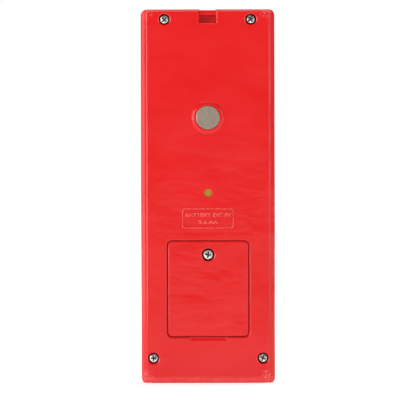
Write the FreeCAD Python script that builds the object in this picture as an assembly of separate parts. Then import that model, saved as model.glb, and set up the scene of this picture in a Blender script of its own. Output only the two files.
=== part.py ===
"""Battery-powered pocket metronome with a magnet on its back.

Frame: millimetres, +Z up along the long side, the front (display and keys) faces -Y, the back
(magnet and battery cover) faces +Y, and the origin is the centre of the underside of the whole
object's box, so the metronome stands on z = 0.
"""
import FreeCAD, Part
import math
import os

V = FreeCAD.Vector
os.makedirs("parts", exist_ok=True)

# ---------------------------------------------------------------- driving dimensions (mm)
W = 73.4                 # overall width
H = 205.0                # overall height
YR = 14.4                # back face of the rear cover
YF = -12.0               # front face of the front cover
YP = 1.4                 # parting plane between the two covers
WALL = 2.2               # case wall
CORNER_R = 3.3           # corner radius seen from the back
# crowned border of the back face: (distance in from the side, depth below the back face, corner radius) per vertex
SIDE_EDGE = [(0.0, 3.6, 0.8), (0.7, 2.0, 1.5), (1.9, 0.95, 4.0), (3.3, 0.0, 1.3)]
BOTTOM_EDGE = [(0.0, 3.4, 0.8), (0.6, 1.9, 1.5), (1.7, 0.85, 4.0), (2.9, 0.0, 1.3)]
TOP_EDGE = [(0.0, 1.2, 0.4), (1.3, 0.0, 0.4)]
INNER_EDGE = [(0.0, 2.0, 0.3), (2.2, 0.0, 0.3)]
INNER_TOP_EDGE = [(0.0, 0.7, 0.15), (0.7, 0.0, 0.15)]
FRONT_R = 2.0            # front edge radius
FOOT_HALF, FOOT_Y0, FOOT_Y1, FOOT_H = 31.0, -9.4, 10.2, 0.22    # flat foot under the case: half width, front and rear edge, height

TOP_SCREWS = [(-23.7, 199.5), (23.7, 199.5)]
BOTTOM_SCREWS = [(-30.0, 13.75), (30.0, 13.75)]
RECESS_R = 3.0           # counterbore of a case screw
FLARE, FLARE_D = 0.7, 0.32   # shallow flare around each screw recess: width, depth
HEAD_SEAT = 3.4          # depth of the case screws' head seat below the back face
HEAD_R = 2.3             # case screw head

MAG_Z, MAG_R, MAG_T = 145.6, 6.5, 3.0
MAG_GAP = 0.15           # play around the magnet in its ring
MAG_UP = 0.9             # magnet face above the back face
RING_R, RING_FLAT, RING_PROUD = 9.0, 7.25, 0.85      # convex ring around the magnet: foot, edge of its flat top, height

HOLE_Z, HOLE_R = 104.3, 2.1           # sound hole
DISC_R, DISC_T = 13.5, 0.25           # brass disc of the buzzer
CERAMIC_R, CERAMIC_T = 10.0, 0.2

LABEL_Z, LABEL_W, LABEL_H, LABEL_LINE, LABEL_UP = 90.4, 28.3, 11.0, 0.55, 0.4

DOOR_Z0, DOOR_Z1, DOOR_HALF = 25.3, 78.3, 22.5     # battery door pocket
DOOR_R, DOOR_T, DOOR_GAP = 2.8, 2.0, 0.4
DOOR_SCREW_Z = 70.5
TAB_HALF = 8.5
FINGER_HALF, FINGER_H, FINGER_D = 9.2, 2.0, 0.85   # sloped relief below the door

BAY_HALF, BAY_Z0, BAY_Z1, BAY_D = 19.5, 22.8, 79.4, 18.0
CELL_R, CELL_X, CELL_D = 7.0, 11.2, 10.4           # cell radius, offset from centre, depth of its axis
CELL_L, NUB_L, NUB_R = 50.5, 1.5, 2.75

NOTCH_HALF, NOTCH_Z, NOTCH_D = 4.5, 197.5, 9.2     # strap slot in the top edge
BAR_Z0, BAR_Z1, BAR_D0, BAR_D1 = 201.9, 204.6, 1.3, 4.4

DIAL_Z, DIAL_R, DIAL_FRONT = 105.0, 19.0, -15.3
DIAL_BACK, DISH_R, DISH_D = -11.4, 20.0, 0.8
SHAFT_R = 3.0

PCB_F, PCB_B = -7.0, -5.4                           # front and back faces of the board
LENS_Z, LENS_W, LENS_H, LENS_R, LENS_D = 166.0, 60.0, 56.0, 4.0, 1.6
LCD_Z, LCD_W, LCD_H = 156.0, 50.0, 30.0
VIEW_W, VIEW_H = 46.0, 26.0
ARC_Z, ARC_R, ARC_STEP, ARC_N = 146.0, 40.0, 9.0, 9  # beat lights on an arc

KEYS = {  # name: (x, z, width, height)
    "start_stop": (0.0, 54.0, 32.0, 13.0),
    "beat": (-21.0, 76.0, 15.0, 9.0),
    "tap": (21.0, 76.0, 15.0, 9.0),
    "tone": (-21.0, 32.0, 15.0, 9.0),
    "light": (21.0, 32.0, 15.0, 9.0),
}
KEY_TOP, KEY_GAP, KEY_TRAVEL = -13.0, 0.2, 0.5
SLIDER_X, SLIDER_Z, SLIDER_TRAVEL = -3.0, 32.0, 6.0


# ---------------------------------------------------------------- helpers
def box(x0, x1, y0, y1, z0, z1):
    return Part.makeBox(x1 - x0, y1 - y0, z1 - z0, V(x0, y0, z0))


def cyl_y(x, z, r, y0, y1):
    return Part.makeCylinder(r, y1 - y0, V(x, y0, z), V(0, 1, 0))


def cyl_z(x, y, r, z0, z1):
    return Part.makeCylinder(r, z1 - z0, V(x, y, z0), V(0, 0, 1))


def rounded_wire(points):
    """Closed planar wire through (point, radius) pairs, each corner rounded to its radius."""
    n = len(points)
    cuts = []
    for i in range(n):
        p, r = points[i]
        a, b = points[i - 1][0], points[(i + 1) % n][0]
        u, w = (a - p).normalize(), (b - p).normalize()
        if r <= 1e-6:
            cuts.append((p, None, p))
            continue
        half = u.getAngle(w) / 2
        t = r / math.tan(half)
        mid_dir = (u + w).normalize()
        centre = p + mid_dir * (r / math.sin(half))
        cuts.append((p + u * t, centre - mid_dir * r, p + w * t))
    edges = []
    for i in range(n):
        s, m, e = cuts[i]
        if m is not None:
            edges.append(Part.Arc(s, m, e).toShape())
        nxt = cuts[(i + 1) % n][0]
        if (nxt - e).Length > 1e-6:
            edges.append(Part.LineSegment(e, nxt).toShape())
    return Part.Wire(edges)


def prism(points, direction):
    return Part.Face(rounded_wire(points)).extrude(direction)


def slab(cx, cz, w, h, r, y0, y1):
    """Rounded rectangle in the XZ plane, from y0 to y1."""
    x0, x1, z0, z1 = cx - w / 2, cx + w / 2, cz - h / 2, cz + h / 2
    pts = [(V(x0, y0, z0), r), (V(x1, y0, z0), r), (V(x1, y0, z1), r), (V(x0, y0, z1), r)]
    return prism(pts, V(0, y1 - y0, 0))


def hull(t, side, bottom, top, corner, front_r):
    """The case's outer form inset by t: three prisms that share one volume."""
    x, yr, yf, z0, z1 = W / 2 - t, YR - t, YF + t, t, H - t
    across = prism(
        [(V(-x, yf, -1), front_r), (V(x, yf, -1), front_r)] + [(V(x - d, yr - deep, -1), r) for d, deep, r in side] +
        [(V(-x + d, yr - deep, -1), r) for d, deep, r in reversed(side)],
        V(0, 0, H + 2))
    along = prism(
        [(V(-W, yf, z0), front_r)] + [(V(-W, yr - deep, z0 + d), r) for d, deep, r in bottom] +
        [(V(-W, yr - deep, z1 - d), r) for d, deep, r in reversed(top)] + [(V(-W, yf, z1), front_r)],
        V(2 * W, 0, 0))
    outline = slab(0, (z0 + z1) / 2, 2 * x, z1 - z0, corner, YF - 5, YR + 5)
    return across.common(along).common(outline)


def fuse(first, *rest):
    for piece in rest:
        first = first.fuse(piece)
    return first.removeSplitter()


def cut(shape, *tools):
    for tool in tools:
        shape = shape.cut(tool)
    return shape


def soften(shape, radius, pick):
    """Round the edges that pick accepts, one connected outline at a time."""
    chosen = [e for e in shape.Edges if pick(e)]
    for group in Part.sortEdges(chosen):
        live = []
        for g in group:
            c = g.CenterOfMass
            live += [e for e in shape.Edges if (e.CenterOfMass - c).Length < 1e-4 and abs(e.Length - g.Length) < 1e-4]
        try:
            out = shape.makeFillet(radius, live)
            if out.isValid() and len(out.Solids) == len(shape.Solids) and out.Volume > 0:
                shape = out
                continue
            print("   fillet not valid near", group[0].CenterOfMass)
        except Exception as error:
            print("   fillet refused near", group[0].CenterOfMass, error)
    return shape


def flat_at(e, y):
    return abs(e.BoundBox.YMin - y) < 2e-3 and abs(e.BoundBox.YMax - y) < 2e-3


def within(e, x0, x1, z0, z1):
    b = e.BoundBox
    return b.XMin >= x0 - 0.01 and b.XMax <= x1 + 0.01 and b.ZMin >= z0 - 0.01 and b.ZMax <= z1 + 0.01


def save(name, shape):
    solids = shape.Solids
    if not solids:
        raise ValueError(name + " has no solid")
    out = solids[0] if len(solids) == 1 else Part.makeCompound(solids)
    print("%-24s solids %2d volume %9.2f valid %s" % (name, len(solids), sum(s.Volume for s in solids), out.isValid()))
    out.exportStep("parts/" + name + ".step")


def cross_recess(x, z, y_top, width, arm, depth):
    """Phillips recess cut into a screw head whose top is at y_top and whose shank points to -Y."""
    return fuse(box(x - arm / 2, x + arm / 2, y_top - depth, y_top + 1, z - width / 2, z + width / 2),
                box(x - width / 2, x + width / 2, y_top - depth, y_top + 1, z - arm / 2, z + arm / 2))


def pan_screw(x, z, y_seat, head_r, head_h, shank_r, length, turn=0.0):
    """Pan-head screw with its seat at y_seat, head towards +Y and shank towards -Y."""
    dome = Part.makeSphere(head_r * 2.0, V(x, y_seat + head_h - head_r * 2.0, z))
    head = cyl_y(x, z, head_r, y_seat, y_seat + head_h).common(dome)
    tip = Part.makeCone(0.35, shank_r, 1.4, V(x, y_seat - length, z), V(0, 1, 0))
    body = fuse(head, cyl_y(x, z, shank_r, y_seat - length + 1.4, y_seat), tip)
    cross = cross_recess(x, z, y_seat + head_h, head_r * 1.25, 0.62, head_h * 0.6)
    cross.rotate(V(x, 0, z), V(0, 1, 0), turn)
    return body.cut(cross)


def tube(points, r):
    """Round lead of straight runs and tangent arcs along a route of points."""
    pts = [V(*p) for p in points]
    edges, here = [], pts[0]
    for i in range(1, len(pts) - 1):
        a, p, b = pts[i - 1], pts[i], pts[i + 1]
        u, w = (a - p), (b - p)
        run = min(u.Length, w.Length)
        u.normalize(), w.normalize()
        half = u.getAngle(w) / 2
        t = 0.45 * run
        rad = t * math.tan(half)
        mid_dir = (u + w).normalize()
        centre = p + mid_dir * (rad / math.sin(half))
        s, m, e = p + u * t, centre - mid_dir * rad, p + w * t
        edges.append(Part.LineSegment(here, s).toShape())
        edges.append(Part.Arc(s, m, e).toShape())
        here = e
        print("   lead bend radius %.2f" % rad)
    edges.append(Part.LineSegment(here, pts[-1]).toShape())
    wire = Part.Wire(edges)
    start = (pts[1] - pts[0]).normalize()
    ring = Part.Wire([Part.makeCircle(r, pts[0], start)])
    return wire.makePipeShell([ring], True, False), wire.Length


def spring(x, y, z_base, up, r_base, r_top, height, turns, wire_r):
    """Conical contact spring, wide end at z_base and narrow end on the up side (1 or -1)."""
    angle = math.degrees(math.atan2(r_base - r_top, height))
    helix = Part.makeHelix(height / turns, height, r_top, angle)
    start = helix.Edges[0].valueAt(helix.Edges[0].FirstParameter)
    tangent = helix.Edges[0].tangentAt(helix.Edges[0].FirstParameter)
    tangent.normalize()
    across = V(0, 0, 1).cross(tangent).normalize()
    up_dir = tangent.cross(across)
    corners = [start + across * (wire_r * math.cos(t)) + up_dir * (wire_r * math.sin(t)) for t in [2 * math.pi * i / 12 for i in range(12)]]
    ring = Part.makePolygon(corners + [corners[0]])
    body = Part.Wire(helix.Edges).makePipeShell([ring], True, True)
    body.translate(V(0, 0, -height - wire_r))
    if up > 0:
        body.rotate(V(0, 0, 0), V(1, 0, 0), 180)
    body.translate(V(x, y, z_base))
    return body


# ---------------------------------------------------------------- case shells
outer = hull(0.0, SIDE_EDGE, BOTTOM_EDGE, TOP_EDGE, CORNER_R, FRONT_R)
inner = hull(WALL, INNER_EDGE, INNER_EDGE, INNER_TOP_EDGE, 1.2, 1.0)
shell = outer.cut(inner)
rear_half = box(-W, W, YP, YR + 5, -5, H + 5)
front_half = box(-W, W, YF - 5, YP, -5, H + 5)
around_foot = box(-W, W, YF - 5, YR + 5, -1, FOOT_H).cut(box(-FOOT_HALF, FOOT_HALF, FOOT_Y0, FOOT_Y1, -2, 1))

tongue_out = slab(0, H / 2, W - 2 * WALL + 1.8, H - 2 * WALL + 1.8, 2.0, YP, YP + 1.2)
tongue_in = slab(0, H / 2, W - 2 * WALL, H - 2 * WALL, 1.2, YP - 1, YP + 3)
rebate = slab(0, H / 2, W - 2 * WALL + 2.0, H - 2 * WALL + 2.0, 2.1, YP - 1, YP + 1.4)

# rear cover: shell, screw posts, magnet holder, buzzer seat, battery bay and strap pocket
rear = shell.common(rear_half)
shadow_gap = slab(0, H / 2, W + 2, H + 2, CORNER_R + 1, YP - 1, YP + 0.3).cut(slab(0, H / 2, W - 0.5, H - 0.5, CORNER_R - 0.25, YP - 2, YP + 1))
rear = cut(rear, rebate.common(rear_half), shadow_gap)
posts = [cyl_y(x, z, 4.3, YR - 9.0, YR - 1.0).common(outer) for x, z in TOP_SCREWS + BOTTOM_SCREWS]
bow = ((RING_R - RING_FLAT) ** 2 + RING_PROUD ** 2) / (2 * RING_PROUD)
half_turn = math.asin((RING_R - RING_FLAT) / bow) / 2
crest, foot = V(RING_FLAT, YR + RING_PROUD, MAG_Z), V(RING_R, YR, MAG_Z)
midway = V(RING_FLAT + bow * math.sin(half_turn), YR + RING_PROUD - bow * (1 - math.cos(half_turn)), MAG_Z)
profile = Part.Wire([Part.makeLine(V(5, YR - 1, MAG_Z), V(5, YR + RING_PROUD, MAG_Z)), Part.makeLine(V(5, YR + RING_PROUD, MAG_Z), crest),
                     Part.Arc(crest, midway, foot).toShape(), Part.makeLine(foot, V(RING_R, YR - 1, MAG_Z)), Part.makeLine(V(RING_R, YR - 1, MAG_Z), V(5, YR - 1, MAG_Z))])
ring = Part.Face(profile).revolve(V(0, 0, MAG_Z), V(0, 1, 0), 360)
ring = Part.makeSolid(ring) if ring.ShapeType != "Solid" else ring
holder = [ring, cyl_y(0, MAG_Z, 8.6, YR - 4.2, YR - 1.0)]
ledge = box(-DOOR_HALF - 1.2, DOOR_HALF + 1.2, YR - 3.1, YR - 1.0, DOOR_Z0 - 1.2, DOOR_Z1 + 1.2)
bay = box(-BAY_HALF - 1.5, BAY_HALF + 1.5, YR - BAY_D - 1.5, YR - 1.0, BAY_Z0 - 1.5, BAY_Z1 + 1.5)
pocket_wall = box(-NOTCH_HALF - 1.5, NOTCH_HALF + 1.5, YR - NOTCH_D - 1.5, YR - 1.0, NOTCH_Z - 1.5, H - 1.0)
frame = slab(0, LABEL_Z, LABEL_W, LABEL_H, 1.6, YR - 0.5, YR + LABEL_UP).cut(
    slab(0, LABEL_Z, LABEL_W - 2 * LABEL_LINE, LABEL_H - 2 * LABEL_LINE, 1.2, YR - 1, YR + 1))
buzzer_rim = cyl_y(0, HOLE_Z, DISC_R + 1.4, YR - 3.2, YR - 1.0).cut(cyl_y(0, HOLE_Z, DISC_R + 0.2, YR - 4, YR - 1.2))
rear = fuse(rear, *posts, *holder, ledge, bay, pocket_wall, frame, buzzer_rim)

# the bay's hollow leaves out the cell supports and the door screw's boss
hollow_bay = box(-BAY_HALF, BAY_HALF, YR - BAY_D, YR - 3.1, BAY_Z0, BAY_Z1)
for z in (34.0, 50.0, 62.0):
    rib = box(-BAY_HALF, BAY_HALF, YR - BAY_D - 0.2, YR - BAY_D + 4.2, z - 0.75, z + 0.75)
    rib = cut(rib, cyl_z(-CELL_X, YR - CELL_D, CELL_R + 0.25, 0, 100), cyl_z(CELL_X, YR - CELL_D, CELL_R + 0.25, 0, 100))
    hollow_bay = hollow_bay.cut(rib)
boss = cyl_y(0, DOOR_SCREW_Z, 3.3, YR - BAY_D - 0.5, YR - 4.7).cut(cyl_y(0, DOOR_SCREW_Z, 1.7, YR - 12, YR))
hollow_bay = hollow_bay.cut(boss)



def flare_cone(x, z, r):
    """Cutter that opens a round recess of radius r outward at the back face."""
    return Part.makeCone(r, r + FLARE * 1.3, FLARE_D * 1.3, V(x, YR - FLARE_D, z), V(0, 1, 0))


def rect_wire(x, z0, z1, y):
    return Part.makePolygon([V(-x, y, z0), V(x, y, z0), V(x, y, z1), V(-x, y, z1), V(-x, y, z0)])


cuts = []
for x, z in TOP_SCREWS + BOTTOM_SCREWS:
    cuts += [cyl_y(x, z, RECESS_R, YR - HEAD_SEAT, YR + 2), cyl_y(x, z, 1.5, YR - 12, YR), flare_cone(x, z, RECESS_R)]
cuts += [cyl_y(0, MAG_Z, MAG_R + MAG_GAP, YR + MAG_UP - MAG_T, YR + 2)]
cuts += [cyl_y(0, HOLE_Z, HOLE_R, YR - 3, YR + 1), cyl_y(0, HOLE_Z, DISC_R + 0.2, YR - 2.6, YR - 1.2)]
cuts += [slab(0, (DOOR_Z0 + DOOR_Z1) / 2, 2 * DOOR_HALF, DOOR_Z1 - DOOR_Z0, DOOR_R, YR - DOOR_T, YR + 1)]
cuts += [box(-BAY_HALF, BAY_HALF, YR - 3.5, YR, DOOR_Z0 + 1.0, DOOR_Z1 - 1.0)]
cuts += [hollow_bay]
cuts += [box(-TAB_HALF - 0.3, TAB_HALF + 0.3, YR - 4.0, YR - 2.2, BAY_Z0, DOOR_Z0 + 0.1),
         box(-TAB_HALF - 0.3, TAB_HALF + 0.3, YR - 4.0, YR - 1.8, DOOR_Z0 + 0.02, DOOR_Z0 + 1.5)]
cuts += [Part.makeLoft([rect_wire(FINGER_HALF, DOOR_Z0 - 0.3, DOOR_Z0 + 0.5, YR - FINGER_D),
                        rect_wire(FINGER_HALF + 1.2, DOOR_Z0 - FINGER_H, DOOR_Z0 + 0.5, YR + 0.001)], True, True)]
cuts += [box(-NOTCH_HALF, NOTCH_HALF, YR - NOTCH_D, YR + 1, NOTCH_Z, H + 1)]
mouth = [(0.0, 0.95, 0.8), (0.22, 0.4, 0.5), (0.62, 0.08, 0.4), (1.3, -0.15, 0)]     # (out, depth, radius) of the flared sides
cuts += [prism([(V(-NOTCH_HALF + 1, YR - 1.5, NOTCH_Z), 0), (V(-NOTCH_HALF, YR - 1.5, NOTCH_Z), 0)] +
               [(V(-NOTCH_HALF - out, YR - deep, NOTCH_Z), r) for out, deep, r in mouth] +
               [(V(-NOTCH_HALF + 1, YR + 0.15, NOTCH_Z), 0)], V(0, 0, H + 1 - NOTCH_Z)),
         prism([(V(NOTCH_HALF - 1, YR - 1.5, NOTCH_Z), 0), (V(NOTCH_HALF, YR - 1.5, NOTCH_Z), 0)] +
               [(V(NOTCH_HALF + out, YR - deep, NOTCH_Z), r) for out, deep, r in mouth] +
               [(V(NOTCH_HALF - 1, YR + 0.15, NOTCH_Z), 0)], V(0, 0, H + 1 - NOTCH_Z)),
         prism([(V(-NOTCH_HALF, YR - 1.5, NOTCH_Z + 1), 0), (V(-NOTCH_HALF, YR - 1.5, NOTCH_Z), 0)] +
               [(V(-NOTCH_HALF, YR - deep, NOTCH_Z - out * 0.8), r * 0.8) for out, deep, r in mouth] +
               [(V(-NOTCH_HALF, YR + 0.15, NOTCH_Z + 1), 0)], V(2 * NOTCH_HALF, 0, 0))]
rear = cut(rear, *cuts)

slits = [box(s * CELL_X - 1.6, s * CELL_X + 1.6, YR - 16.0, YR - 15.5, BAY_Z1 - 0.5, BAY_Z1 + 3) for s in (-1, 1)]
bar_sockets = box(-NOTCH_HALF - 1.0, NOTCH_HALF + 1.0, YR - BAR_D1, YR - BAR_D0, BAR_Z0, BAR_Z1)
rear = cut(rear, *slits, bar_sockets)
rear = soften(rear, 0.8, lambda e: flat_at(e, YR) and within(e, -DOOR_HALF, DOOR_HALF, DOOR_Z0 - 2.2, DOOR_Z1))
rear = soften(rear, 0.6, lambda e: flat_at(e, YR) and within(e, -HOLE_R, HOLE_R, HOLE_Z - HOLE_R, HOLE_Z + HOLE_R))
rear = soften(rear, 0.3, lambda e: flat_at(e, YR + RING_PROUD) and e.BoundBox.XLength < 2 * MAG_R + 1.0 and abs(e.BoundBox.ZMin + e.BoundBox.ZMax - 2 * MAG_Z) < 0.1)
rear = soften(rear, 0.2, lambda e: flat_at(e, YR + LABEL_UP))
rear = cut(rear, around_foot)
save("rear_cover", rear)

bar = box(-NOTCH_HALF - 0.95, NOTCH_HALF + 0.95, YR - BAR_D1 + 0.05, YR - BAR_D0 - 0.05, BAR_Z0 + 0.05, BAR_Z1 - 0.05)
save("strap_bar", bar.makeFillet(0.35, [e for e in bar.Edges if e.BoundBox.XLength > 1]))

# front cover: shell, tongue, screw posts, windows, keyholes, dial dish and board posts
front = shell.common(front_half)
tongue = tongue_out.cut(tongue_in)
front_posts = [cyl_y(x, z, 3.15, YF + 1.0, YR - 9.1).common(outer) for x, z in TOP_SCREWS + BOTTOM_SCREWS]
BOARD_POSTS = [(-28.0, 65.0), (28.0, 65.0), (-28.0, 134.0), (28.0, 134.0)]
board_posts = [cyl_y(x, z, 2.4, YF + 1.0, PCB_F) for x, z in BOARD_POSTS]
board_rib = box(-16, 16, YF + 1.0, PCB_F, 24.6, 26.0)
front = fuse(front, tongue, *front_posts, *board_posts, board_rib)
cuts = [cyl_y(x, z, 1.27, YF + 4.0, YR) for x, z in TOP_SCREWS + BOTTOM_SCREWS]
cuts += [cyl_y(x, z, 0.82, YF + 1.6, PCB_F + 0.5) for x, z in BOARD_POSTS]
cuts += [slab(0, LENS_Z, LENS_W, LENS_H, LENS_R, YF - 1, YF + LENS_D), slab(0, LCD_Z, VIEW_W, VIEW_H, 1.0, YF, YF + 4)]
leds = []
for i in range(ARC_N):
    a = math.radians((i - (ARC_N - 1) / 2) * ARC_STEP)
    leds.append((ARC_R * math.sin(a), ARC_Z + ARC_R * math.cos(a)))
cuts += [cyl_y(x, z, 1.6, YF, YF + 4) for x, z in leds]
cuts += [cyl_y(0, DIAL_Z, DISH_R, YF - 1, YF + DISH_D), cyl_y(0, DIAL_Z, 5.5, YF - 1, YF + 4)]
for x, z, w, h in KEYS.values():
    cuts.append(slab(x, z, w, h, min(w, h) / 2 - 0.1, YF - 1, YF + 4))
cuts.append(slab(0, SLIDER_Z, 11.6, 4.0, 1.0, YF - 1, YF + 4))
front = cut(front, *cuts)
for x, z, w, h in KEYS.values():
    front = soften(front, 0.3, lambda e: flat_at(e, YF) and within(e, x - w / 2, x + w / 2, z - h / 2, z + h / 2))
front = soften(front, 0.25, lambda e: flat_at(e, YF) and within(e, -6, 6, SLIDER_Z - 2.1, SLIDER_Z + 2.1))
front = soften(front, 0.3, lambda e: flat_at(e, YF) and within(e, -DISH_R, DISH_R, DIAL_Z - DISH_R, DIAL_Z + DISH_R))
front = soften(front, 0.25, lambda e: flat_at(e, YF) and within(e, -LENS_W / 2, LENS_W / 2, LENS_Z - LENS_H / 2, LENS_Z + LENS_H / 2))
front = cut(front, around_foot)
save("front_cover", front)

# ---------------------------------------------------------------- case fasteners
screws = [pan_screw(x, z, YR - HEAD_SEAT, HEAD_R, 1.8, 1.25, 12.0, 12.0 + 31.0 * i) for i, (x, z) in enumerate(TOP_SCREWS + BOTTOM_SCREWS)]
save("case_screws", Part.makeCompound(screws))

# ---------------------------------------------------------------- magnet and buzzer
magnet = cyl_y(0, MAG_Z, MAG_R, YR + MAG_UP - MAG_T, YR + MAG_UP)
save("magnet_disc", magnet.makeFillet(0.35, [e for e in magnet.Edges if e.BoundBox.XLength > 1]))
save("buzzer_brass_disc", cyl_y(0, HOLE_Z, DISC_R, YR - 1.2 - DISC_T, YR - 1.2))
ceramic_y = YR - 1.2 - DISC_T
save("buzzer_ceramic", cyl_y(0, HOLE_Z, CERAMIC_R, ceramic_y - CERAMIC_T, ceramic_y))

# ---------------------------------------------------------------- board and what it carries
pcb = slab(0, 108.5, 62.0, 167.0, 2.0, PCB_F, PCB_B)
holes = [cyl_y(x, z, 1.1, PCB_F - 1, PCB_B + 1) for x, z in BOARD_POSTS] + [cyl_y(0, DIAL_Z, 3.4, PCB_F - 1, PCB_B + 1)]
save("main_board", cut(pcb, *holes))


def board_screw(x, z):
    head = cyl_y(x, z, 1.9, PCB_B, PCB_B + 1.3)
    shank = cyl_y(x, z, 0.8, PCB_F - 2.6, PCB_B)
    return fuse(head, shank).cut(cross_recess(x, z, PCB_B + 1.3, 2.2, 0.5, 0.7))


save("board_screws", Part.makeCompound([board_screw(x, z) for x, z in BOARD_POSTS]))

lens_face = YF + 0.05
lens = slab(0, LENS_Z, LENS_W - 0.2, LENS_H - 0.2, LENS_R - 0.1, lens_face, YF + LENS_D - 0.2)
save("display_lens", soften(lens, 0.25, lambda e: flat_at(e, lens_face)))
mask = slab(0, LENS_Z, LENS_W - 0.4, LENS_H - 0.4, LENS_R - 0.2, YF + LENS_D - 0.2, YF + LENS_D)
mask = cut(mask, slab(0, LCD_Z, VIEW_W - 1, VIEW_H - 1, 0.8, YF, YF + 4), *[cyl_y(x, z, 1.4, YF, YF + 4) for x, z in leds])
save("display_mask", mask)
save("lcd_glass", box(-LCD_W / 2, LCD_W / 2, YF + WALL + 0.1, YF + WALL + 1.9, LCD_Z - LCD_H / 2, LCD_Z + LCD_H / 2))
lcd_frame = box(-27, 27, YF + WALL, -7.4, LCD_Z - 16.8, LCD_Z + 16.8).cut(
    box(-LCD_W / 2 - 0.15, LCD_W / 2 + 0.15, -20, 0, LCD_Z - LCD_H / 2 - 0.15, LCD_Z + LCD_H / 2 + 0.15))
save("lcd_frame", lcd_frame)
zebra = [box(-23, 23, YF + WALL + 1.9, PCB_F, z - 1.0, z + 1.0) for z in (LCD_Z - 13.4, LCD_Z + 13.4)]
save("zebra_strips", Part.makeCompound(zebra))
save("beat_leds", Part.makeCompound([box(x - 1.0, x + 1.0, PCB_F - 0.8, PCB_F, z - 0.65, z + 0.65) for x, z in leds]))
save("led_light_guides", Part.makeCompound([cyl_y(x, z, 1.5, YF + LENS_D, PCB_F - 0.9) for x, z in leds]))

encoder = box(-6.5, 6.5, PCB_B, PCB_B + 5.5, DIAL_Z - 6.5, DIAL_Z + 6.5)
save("encoder_body", encoder.cut(cyl_y(0, DIAL_Z, SHAFT_R + 0.06, PCB_B - 1, PCB_B + 1.4)))
SW_TOP = PCB_F - 1.3
bodies = [cut(box(x - 2.6, x + 2.6, SW_TOP, PCB_F, z - 2.6, z + 2.6), cyl_y(x, z, 1.4, SW_TOP - 1, PCB_F - 0.2)) for x, z, w, h in KEYS.values()]
save("key_switch_bodies", Part.makeCompound(bodies))
slide_body = box(-6.8, 6.8, PCB_F - 1.6, PCB_F, SLIDER_Z - 2.2, SLIDER_Z + 2.2)
save("slide_switch_body", slide_body.cut(box(-4.2, 4.2, PCB_F - 3, PCB_F - 0.9, SLIDER_Z - 0.9, SLIDER_Z + 0.9)))

blob = Part.makeSphere(12.0, V(0, PCB_B - 10.2, 132.0)).common(box(-20, 20, PCB_B, PCB_B + 5, 110, 150))
save("controller_blob", blob)
crystal = Part.makeCylinder(1.5, 6.0, V(-16.0, PCB_B + 1.5, 128.0), V(0, 0, 1))
save("crystal_can", crystal)
caps = [Part.makeCylinder(2.5, 5.5, V(x, PCB_B, z), V(0, 1, 0)) for x, z in ((20.0, 120.0), (20.0, 128.0))]
save("capacitors", Part.makeCompound(caps))
chips = [box(x - 1.0, x + 1.0, PCB_B, PCB_B + 0.55, z - 0.6, z + 0.6) for x, z in
         ((-20, 104), (-20, 107), (-20, 110), (-20, 113), (16, 140), (19, 140), (22, 140), (-14, 142))]
save("chip_resistors", Part.makeCompound(chips))

# ---------------------------------------------------------------- cells, contacts and leads
cell_y = YR - CELL_D
PLATE = 0.4
NUB_END_TOP = BAY_Z1 - PLATE - 0.7        # tip of the cell whose positive end is up
NUB_END_BOTTOM = BAY_Z0 + PLATE + 0.7     # tip of the cell whose positive end is down


def cell(x, z_flat, z_tip):
    s = 1 if z_tip > z_flat else -1
    can0, can1 = sorted((z_flat, z_tip - s * NUB_L))
    can = cyl_z(x, cell_y, CELL_R, can0, can1)
    can = can.makeFillet(0.6, [e for e in can.Edges if len(e.Vertexes) == 1 or abs(e.BoundBox.ZLength) < 1e-3])
    nub0, nub1 = sorted((z_tip - s * (NUB_L + 0.5), z_tip))
    return fuse(can, cyl_z(x, cell_y, NUB_R, nub0, nub1))


save("cell_right", cell(CELL_X, NUB_END_TOP - CELL_L, NUB_END_TOP))
save("cell_left", cell(-CELL_X, NUB_END_BOTTOM + CELL_L, NUB_END_BOTTOM))


def dimple(x, z_plate, s):
    return Part.makeCone(2.2, 1.4, 0.7, V(x, cell_y, z_plate), V(0, 0, s))


def plate(x, half, z0, z1):
    return box(x - half, x + half, cell_y - 5.6, cell_y + 4.5, z0, z1)


top_face, bottom_face = BAY_Z1 - PLATE, BAY_Z0 + PLATE
tag = [box(s * CELL_X - 1.5, s * CELL_X + 1.5, YR - 15.95, YR - 15.55, BAY_Z1 - 0.05, BAY_Z1 + 4.6) for s in (-1, 1)]
save("contact_positive", fuse(plate(CELL_X, 5.5, top_face, BAY_Z1), dimple(CELL_X, top_face, -1), tag[1]))
save("contact_negative", fuse(plate(-CELL_X, 5.5, top_face, BAY_Z1), tag[0]))
save("contact_bridge", fuse(box(-CELL_X - 5.5, CELL_X + 5.5, cell_y - 5.6, cell_y + 4.5, BAY_Z0, bottom_face), dimple(-CELL_X, bottom_face, 1)))
gap_top = top_face - (NUB_END_BOTTOM + CELL_L)
gap_bottom = (NUB_END_TOP - CELL_L) - bottom_face
SPRING_WIRE = 0.4
save("contact_spring_upper", spring(-CELL_X, cell_y, top_face, -1, 4.6, 2.9, gap_top - 2 * SPRING_WIRE, 3.5, SPRING_WIRE))
save("contact_spring_lower", spring(CELL_X, cell_y, bottom_face, 1, 4.6, 2.9, gap_bottom - 2 * SPRING_WIRE, 3.5, SPRING_WIRE))

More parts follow.
